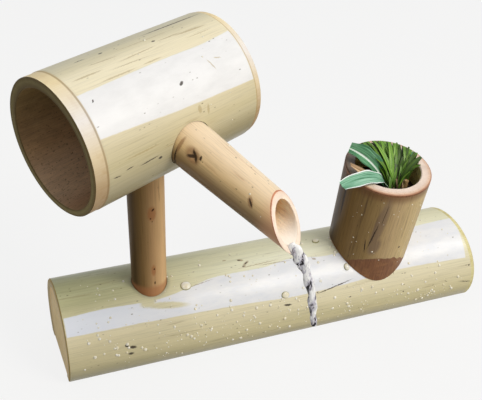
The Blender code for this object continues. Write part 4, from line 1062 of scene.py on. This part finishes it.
def blade_into(shape, uv, controls, width, fold, foot_share, tip_share, steps, ripple=0.0, tone=1.0, full_at=0.55,
               roll=0.0):
    """Adds one leaf: a thin folded blade, fullest at a share of its length, closed at its foot and its tip."""
    store = shape.verts.layers.float["blade_tone"]
    flat = Vector((controls[3].x - controls[0].x, controls[3].y - controls[0].y, 0)).normalized()
    level = Vector((-flat.y, flat.x, 0))
    rows = []
    for step in range(steps + 1):
        share = step / steps
        point = cubic(controls, share)
        run = (cubic(controls, min(share + 0.02, 1)) - cubic(controls, max(share - 0.02, 0))).normalized()
        across = level * math.cos(roll) + run.cross(level) * math.sin(roll)
        upward = run.cross(across)
        if share < full_at:
            fullness = 1 - (1 - foot_share) * (1 - share / full_at) ** 2
        else:
            fullness = 1 - (1 - tip_share) * ((share - full_at) / (1 - full_at)) ** 2
        row = []
        for column in range(ACROSS + 1):
            side = column / ACROSS * 2 - 1
            wave = ripple * math.sin(share * 21 + side * 2.2 + width * 900) * side * side * width
            lift = upward * (abs(side) * fold * width * fullness + wave)
            place = point + across * side * width * fullness / 2 + lift
            thin = LEAF_HALF * (1 - 0.75 * abs(side))
            row.append((place + upward * thin, place - upward * thin))
        rows.append(row)
    grid = [[[shape.verts.new(sides[layer]) for sides in row] for row in rows] for layer in (0, 1)]
    for vert in (vert for layer in grid for row in layer for vert in row):
        vert[store] = tone

    def face(corners):
        made = shape.faces.new([grid[layer][row][column] for layer, (row, column) in corners])
        for loop, (layer, (row, column)) in zip(made.loops, corners):
            loop[uv].uv = (column / ACROSS, row / steps)

    for row in range(steps):
        for column in range(ACROSS):
            quad = ((row, column), (row, column + 1), (row + 1, column + 1), (row + 1, column))
            face([(0, spot) for spot in quad])
            face([(1, spot) for spot in reversed(quad)])
    border = [(0, column) for column in range(ACROSS)] + [(row, ACROSS) for row in range(steps)]
    border += [(steps, column) for column in range(ACROSS, 0, -1)] + [(row, 0) for row in range(steps, 0, -1)]
    for spot, after in zip(border, border[1:] + border[:1]):
        face([(0, after), (0, spot), (1, spot), (1, after)])


def leaf_piece(name, blades, material, slot_name, *nodes):
    shape = bmesh.new()
    uv = shape.loops.layers.uv.new("blade")
    shape.verts.layers.float.new("blade_tone")
    for values in blades:
        blade_into(shape, uv, *values)
    bmesh.ops.recalc_face_normals(shape, faces=shape.faces)
    whole_piece(name, shape, CUP_PLACE, [material], "planting", slot_name, *nodes)


def make_leaves():
    # A blade is its curve, then width, fold, how full foot and tip are, rows, ripple, tone, where fullest and roll
    for number, (degrees, shares) in enumerate(GRASS_SHARES, start=1):
        controls, tone = blade_controls(degrees, GRASS_RING, shares), (number * 0.37) % 1
        blade = (controls, GRASS_WIDTH, 0.16, 0.45, 0.30, 16, 0.0, tone)
        leaf_piece(f"grass_blade_{number}_leaf", [blade], GRASS_LEAF, "grass_leaf", f"grass_blade_{number}")
    chance = random.Random(7)
    between = []
    for number in range(56):
        degrees = 12 + number * 1.75 + chance.uniform(-3, 3)
        if degrees < 45 and number % 3 == 0:
            continue
        controls = blade_to_outline(chance, degrees, RIGHT_FOOT if degrees < 52 else LEFT_FOOT)
        # Over a third of these blades are very dark: painted shade in the gaps between blades.
        tone = chance.uniform(0.0, 0.22) if chance.random() < 0.38 else chance.uniform(0.45, 1.0)
        width, tip = chance.uniform(0.0020, 0.0038), chance.uniform(0.25, 0.6)
        between.append((controls, width, 0.16, 0.45, tip, 14, 0.0, tone))
    dried = []
    for degrees, width in ((104, 0.0036), (99, 0.0026), (72, 0.0034)):
        controls = blade_to_outline(chance, degrees, LEFT_FOOT, 1.0, (0.002, 0.003))
        dried.append((controls, width, 0.20, 0.5, 0.5, 12, 0.0, chance.uniform(0.3, 0.7)))
    for degrees, short, width in ((40, 0.50, 0.0036), (58, 0.56, 0.0030), (24, 0.62, 0.0026), (48, 0.72, 0.0022)):
        controls = blade_to_outline(chance, degrees, FRONT_FOOT, short, (0.008, 0.010))
        dried.append((controls, width, 0.30, 0.8, 0.35, 12, 0.0, chance.uniform(0.6, 1.0)))
    over_rim = [Vector(row) for row in (
        (-0.0095, 0.0040, 0.0482), (-0.013, -0.004, 0.058), (-0.024, -0.0065, 0.0668), (-0.0296, 0.0008, 0.0684))]
    dried.append((over_rim, 0.0046, 0.30, 0.8, 0.75, 16, 0.0, 1.0, 0.55, -0.95))
    leaf_piece("grass_blades_between", between, GRASS_LEAF, "grass_leaf")
    leaf_piece("dried_blades_between", dried, DRY_LEAF, "dry_stem")
    # One narrow blade with a pale midrib is a painted highlight along a blade.
    highlight_blade = (blade_to_outline(chance, 27, RIGHT_FOOT), 0.0030, 0.12, 0.5, 0.4, 14)
    leaf_piece("blade_with_painted_highlight", [highlight_blade], DARK_LEAF, "grass_leaf")
    for name, leaf, degrees, shares, width, fold, foot, tip, full_at, roll in BROAD_LEAVES:
        controls = blade_controls(degrees, BROAD_RING, shares)
        blade = (controls, width, fold, foot, tip, 30, 0.045, 1.0, full_at, roll)
        leaf_piece(name + "_leaf", [blade], leaf, "striped_leaf", name)


def make_mix():
    edge_top, floor = MIX_TOP - 0.0020, CUP_FLOOR + GAP
    floor_radius, edge_radius = [cup_outer(height) - CUP_WALL - GAP for height in (floor, edge_top)]
    rows = [(0, floor, 6), (floor_radius, floor, 10), (edge_radius, edge_top, 12),
            (cup_outer(edge_top) / 2, MIX_TOP, 14), (0, MIX_TOP)]
    shape = turned_culm(runs(rows), 96)
    for vert in shape.verts:
        if vert.co.z > edge_top - 1e-6 and math.hypot(vert.co.x, vert.co.y) < edge_radius - 0.0006:
            vert.co.z -= 0.0016 * (0.5 + 0.5 * noise.noise(vert.co * 420))
    return whole_piece("planting_mix_soil", shape, CUP_PLACE, [MIX], "planting", "planting_mix", "planting_mix")


def make_stem():
    turn = math.radians(328)
    foot = TUFT + Vector((math.cos(turn), math.sin(turn), 0)) * 0.0075
    rows = [(0, 0), (0.0018, 0, 2), (0.0015, 0.0030), (0.00175, 0.0038), (0.0015, 0.0046, 3), (0.0014, 0.0083),
            (0.0010, 0.0085), (0.0004, 0.0080), (0, 0.0079)]
    whole_piece("cut_stem_bark", turned_culm(runs(rows), 20), CUP_PLACE @ Matrix.Translation(foot), [STEM_BARK],
                "planting", "dry_stem", "cut_stem")


# Water

# The stream's middle line and half its width, in millimetres, from just inside the spout's lip downward
STREAM = (
    (-30.6, -87.4, 151.2, 1.4), (-29.9, -88.1, 148.9, 3.2), (-28.4, -88.7, 146.3, 4.7), (-26.3, -89.2, 142.1, 4.2),
    (-23.5, -89.9, 135.1, 3.6), (-20.9, -90.5, 127.4, 3.2), (-18.9, -91.0, 118.8, 3.0), (-17.7, -91.3, 110.8, 2.8),
    (-16.8, -91.5, 102.1, 2.4), (-15.9, -91.7, 95.0, 2.1), (-15.6, -91.8, 92.4, 1.2),
)
STREAM_TWIST = 0.0150


def make_stream():
    """Two strands of water wound round each other, thinning as they fall. It hangs from the head, not the spout."""
    points = [Vector(row) for row in (STREAM[0], *STREAM, STREAM[-1])]
    line = []
    for before, low, high, after in zip(points, points[1:], points[2:], points[3:]):
        for share in (step / 10 for step in range(10)):
            line.append((low * 2 + (high - before) * share + (before * 2 - low * 5 + high * 4 - after) * share**2
                         + (low * 3 - before - high * 3 + after) * share**3) / 2000)
    line.append(points[-1] / 1000)
    shape = bmesh.new()
    strand = shape.verts.layers.float.new("strand")
    rings = []
    fallen = 0.0
    for index, spot in enumerate(line):
        run = (line[min(index + 1, len(line) - 1)] - line[max(index - 1, 0)]).xyz.normalized()
        fallen += (spot - line[max(index - 1, 0)]).xyz.length
        across = Vector((0.97, -0.24, 0))
        across = (across - run * across.dot(run)).normalized()
        forward = run.cross(across)
        turned = math.tau * fallen / STREAM_TWIST + 1.1 * noise.noise(Vector((0.0, 4.0, fallen * 120)))
        at_lip = max(0.0, 1 - fallen / 0.010)
        near_foot = max(0.0, min(1.0, (fallen - 0.050) / 0.008))
        ring = []
        for angle in (math.tau * side / 32 for side in range(32)):
            crest = math.cos(2 * angle - turned)
            ripple = noise.noise(Vector((1.6 * math.cos(angle), 1.6 * math.sin(angle), fallen * 230)))
            reach = spot.w * (0.84 + 0.16 * crest + 0.22 * ripple)
            edge = spot.xyz + across * reach * math.cos(angle) + forward * reach * 0.6 * math.sin(angle)
            vert = shape.verts.new(edge)
            # strand is painted light and shade: higher is whiter. It is darker along the left edge, whiter at the
            # lip and darker near the foot.
            left_edge = max(0.0, -math.cos(angle)) ** 3
            vert[strand] = 0.62 + 0.38 * crest - 0.42 * left_edge + 0.5 * at_lip - 0.26 * near_foot
            ring.append(vert)
        rings.append(ring)
    bridged(shape, rings, [SKIN] * (len(rings) - 1))
    shape.faces.new(rings[0])
    shape.faces.new(rings[-1])
    bmesh.ops.recalc_face_normals(shape, faces=shape.faces)
    piece = made_mesh("falling_water", shape, Matrix.Identity(4), [WATER])
    piece.data.shade_smooth()
    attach(piece, "head")


# What repeats: beads of water and crumbs of bark

def scattered(name, surface, body, material, density, sizes, pressed, seed, region):
    """Spreads copies of one small grain over part of a surface with Geometry Nodes, as one plain mesh."""
    tree = bpy.data.node_groups.new(name + " scatter", "GeometryNodeTree")
    tree.interface.new_socket("Surface", in_out="INPUT", socket_type="NodeSocketGeometry")
    wanted = {"Grains per square metre": density, "Least size": sizes[0], "Most size": sizes[1]}
    named = {}
    for label in wanted:
        named[label] = tree.interface.new_socket(label, in_out="INPUT", socket_type="NodeSocketFloat").identifier
    tree.interface.new_socket("Grains", in_out="OUTPUT", socket_type="NodeSocketGeometry")
    start = add(tree, "NodeGroupInput").outputs
    share = add(tree, "GeometryNodeInputNamedAttribute", data_type="FLOAT", Name="scatter_share")
    spread = add(tree, "GeometryNodeDistributePointsOnFaces", Mesh=start["Surface"],
                 Density=add(tree, TIMES, share, start["Grains per square metre"]), Seed=seed).outputs
    grain_mesh = add(tree, "GeometryNodeMeshUVSphere", Radius=0.5, Segments=pressed[3], Rings=pressed[4])
    flat = add(tree, "GeometryNodeTransform", Geometry=grain_mesh, Scale=pressed[:3])
    chance = add(tree, "FunctionNodeRandomValue", 0.0, 1.0, data_type="FLOAT", Seed=seed + 1)
    few_large = add(tree, "ShaderNodeMath", chance, 2.5, operation="POWER")
    size = add(tree, "ShaderNodeMapRange", few_large, To_Min=start["Least size"], To_Max=start["Most size"])
    spin = add(tree, "FunctionNodeRandomValue", 0.0, math.tau, data_type="FLOAT", Seed=seed + 2)
    about = add(tree, "FunctionNodeAxisAngleToRotation", (0.0, 0.0, 1.0), spin)
    turned = add(tree, "FunctionNodeRotateRotation", spread["Rotation"], about, rotation_space="LOCAL")
    put = add(tree, "GeometryNodeInstanceOnPoints", Points=spread["Points"], Instance=flat, Rotation=turned,
              Scale=size)
    real = add(tree, "GeometryNodeRealizeInstances", put)
    add(tree, "NodeGroupOutput", add(tree, "GeometryNodeSetMaterial", Geometry=real, Material=material))

    mesh = surface.data.copy()
    piece = bpy.data.objects.new(name, mesh)
    shares = [region(*spot.vector) for spot in mesh.attributes["culm_mm"].data]
    mesh.attributes.new("scatter_share", "FLOAT", "POINT").data.foreach_set("value", shares)
    step = piece.modifiers.new("scatter", "NODES")
    step.node_group = tree
    for label, value in wanted.items():
        step[named[label]] = value
    bpy.context.scene.collection.objects.link(piece)
    as_plain_mesh(piece)
    for label in ("scatter_share", "culm_mm"):
        if label in piece.data.attributes:
            piece.data.attributes.remove(piece.data.attributes[label])
    piece.data.shade_smooth()
    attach(piece, body)


def splashed(low, high, first, last, outer):
    """Where the splashing reaches on a culm: a stretch along it, from one angle round it to another, in patches."""
    def share(x, y, along):
        turn = math.degrees(math.atan2(y, x)) % 360
        on_rind = math.hypot(x, y) > outer(along / 1000) * 1000 - 0.8
        if not (low < along < high and first < turn < last and on_rind):
            return 0.0
        return 0.25 + 0.75 * max(0.0, min(1.0, 0.5 + 1.3 * noise.noise(Vector((x, y, along)) / 17)))
    return share


def make_beads(base, cup, spout, drum):
    """Beads of water. The finest real ones are 0.2 mm across, and none is drawn under 0.5 mm, so that they show."""
    bead = (1.0, 1.0, 0.62, 8, 4)
    for name, surface, body, density, sizes, seed, region in (
            ("beads_on_base", base, "base", 60000.0, (0.0007, 0.0027), 3, (58, 292, 156, 203, base_outer)),
            ("beads_on_base_left", base, "base", 30000.0, (0.0007, 0.0030), 5, (8, 58, 152, 203, base_outer)),
            # The next row spreads beads over the base's pale stripe of painted reflection.
            ("beads_on_reflection_stripe", base, "base", 16000.0, (0.0005, 0.0022), 6, (14, 288, 117, 156, base_outer)),
            ("beads_on_crown", base, "base", 26000.0, (0.0006, 0.0026), 7, (14, 288, 88, 119, base_outer)),
            ("beads_on_cup", cup, "base", 11000.0, (0.0005, 0.0013), 8, (-8, 56, 190, 340, cup_outer)),
            ("beads_on_spout", spout, "spout", 5000.0, (0.0006, 0.0020), 13, (60, 118, 60, 200, spout_radius)),
            ("beads_on_drum", drum, "head", 2600.0, (0.0006, 0.0018), 21, (60, 118, 90, 190, drum_outer))):
        scattered(name, surface, body, BEAD, density, sizes, bead, seed, splashed(*region))


def make_large_drops():
    """Four spread drops that stand on the base's front. Rows are along, degrees, length and width."""
    drop_height = 0.0015
    shape = bmesh.new()
    crown = shape.verts.layers.float.new("drop_crown")
    for along, degrees, long_size, wide_size in (
            (86, 121, 7.6, 6.4), (154, 153, 5.6, 4.8), (203, 136, 4.0, 5.2), (188, 95, 5.2, 4.2)):
        turn = math.radians(degrees)
        out = Vector((math.cos(turn), math.sin(turn), 0))
        foot = out * base_outer(along / 1000) + Vector((0, 0, along / 1000))
        spot = placed(foot, (0, 0, 1), out.cross(Vector((0, 0, 1))), out)
        swelled = spot @ Matrix.Diagonal((long_size / 2000, wide_size / 2000, drop_height, 1))
        for vert in bmesh.ops.create_icosphere(shape, subdivisions=3, radius=1.0, matrix=swelled)["verts"]:
            vert[crown] = (swelled.inverted() @ vert.co).z
    piece = made_mesh("large_drops_on_base", shape, BASE_PLACE, [DROP])
    piece.data.shade_smooth()
    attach(piece, "base")


def make_crumbs(mix):
    """Crumbs of bark on the top of the mix."""
    def on_top(x, y, along):
        return 1.0 if along > 44.5 and math.hypot(x, y) < 21 else 0.0
    scattered("bark_crumbs", mix, "planting", BARK, 90000.0, (0.0011, 0.0034), (1.0, 0.7, 0.55, 5, 3), 34, on_top)


base = make_base()
make_post()
drum = make_drum()
spout = make_spout()
cup = make_cup()
make_pegs()
make_screws()
make_hose()
make_tail_and_bung()
make_crumbs(make_mix())
make_leaves()
make_stem()
make_stream()
make_beads(base, cup, spout, drum)
make_large_drops()


# Floor, light and camera

def seen_rays(tree):
    """1 for rays that show the background: straight to the camera, in a reflection or through water."""
    path = add(tree, "ShaderNodeLightPath").outputs
    direct = add(tree, LARGER, path["Is Camera Ray"], path["Is Glossy Ray"])
    return add(tree, LARGER, direct, path["Is Transmission Ray"])


def make_floor():
    """A pale, plain floor. Most of what the camera sees of it is its own white, so that the shadow stays faint."""
    material = bpy.data.materials.new("pale matt floor")
    material.use_nodes = True
    tree = material.node_tree
    tree.nodes.clear()
    matt = add(tree, "ShaderNodeBsdfDiffuse", Color="#C9C8C4")
    pale = add(tree, "ShaderNodeEmission", Color="#FFFFFF", Strength=1.0)
    both = add(tree, "ShaderNodeMixShader", add(tree, TIMES, seen_rays(tree), 0.84), matt, pale)
    add(tree, "ShaderNodeOutputMaterial", both)
    shape = bmesh.new()
    bmesh.ops.create_grid(shape, x_segments=1, y_segments=1, size=6.0)
    made_mesh("floor", shape, Matrix.Translation((0, 0, -0.0002)), [material])


def make_lamp(name, place, aim, size, power, colour):
    light = bpy.data.lights.new(name, "AREA")
    light.shape = "RECTANGLE"
    light.size, light.size_y = size
    light.energy = power
    light.color = linear(colour)[:3]
    lamp = bpy.data.objects.new(name, light)
    lamp.location = place
    lamp.rotation_euler = (Vector(aim) - Vector(place)).to_track_quat("-Z", "Y").to_euler()
    bpy.context.scene.collection.objects.link(lamp)


def make_light():
    world = bpy.data.worlds.new("pale studio")
    bpy.context.scene.world = world
    world.use_nodes = True
    tree = world.node_tree
    tree.nodes.clear()
    soft = add(tree, "ShaderNodeBackground", Color="#F3F5F8", Strength=0.36)
    bright = add(tree, "ShaderNodeBackground", Color="#FFFFFF", Strength=1.0)
    add(tree, "ShaderNodeOutputWorld", add(tree, "ShaderNodeMixShader", seen_rays(tree), soft, bright))
    make_lamp("key softbox", (0.70, -0.95, 1.15), (0, 0, 0.10), (0.7, 0.7), 18.0, "#FFFBF4")
    make_lamp("top softbox", (0.1, 0.35, 1.30), (0, 0, 0.10), (0.9, 0.6), 2.0, "#F8FAFF")


def make_camera():
    """The photograph's angle: fitted to the outlines of all five culms."""
    yaw, pitch, roll = math.radians(20.34), math.radians(32.14), math.radians(-1.09)
    ahead = Vector((math.cos(pitch) * math.sin(yaw), math.cos(pitch) * math.cos(yaw), -math.sin(pitch)))
    level = Vector((math.cos(yaw), -math.sin(yaw), 0))
    down = ahead.cross(level)
    right = level * math.cos(roll) + down * math.sin(roll)
    down = down * math.cos(roll) - level * math.sin(roll)
    data = bpy.data.cameras.new("photo view")
    # A focal length of 999 pixels in a picture 482 pixels wide
    data.sensor_width = 36
    data.lens = 999 / 482 * data.sensor_width
    camera = bpy.data.objects.new("photo view", data)
    camera.matrix_world = placed(CAMERA_SPOT, right, -down, -ahead)
    bpy.context.scene.collection.objects.link(camera)
    bpy.context.scene.camera = camera


make_floor()
make_light()
make_camera()
bpy.context.scene.view_settings.view_transform = "Standard"
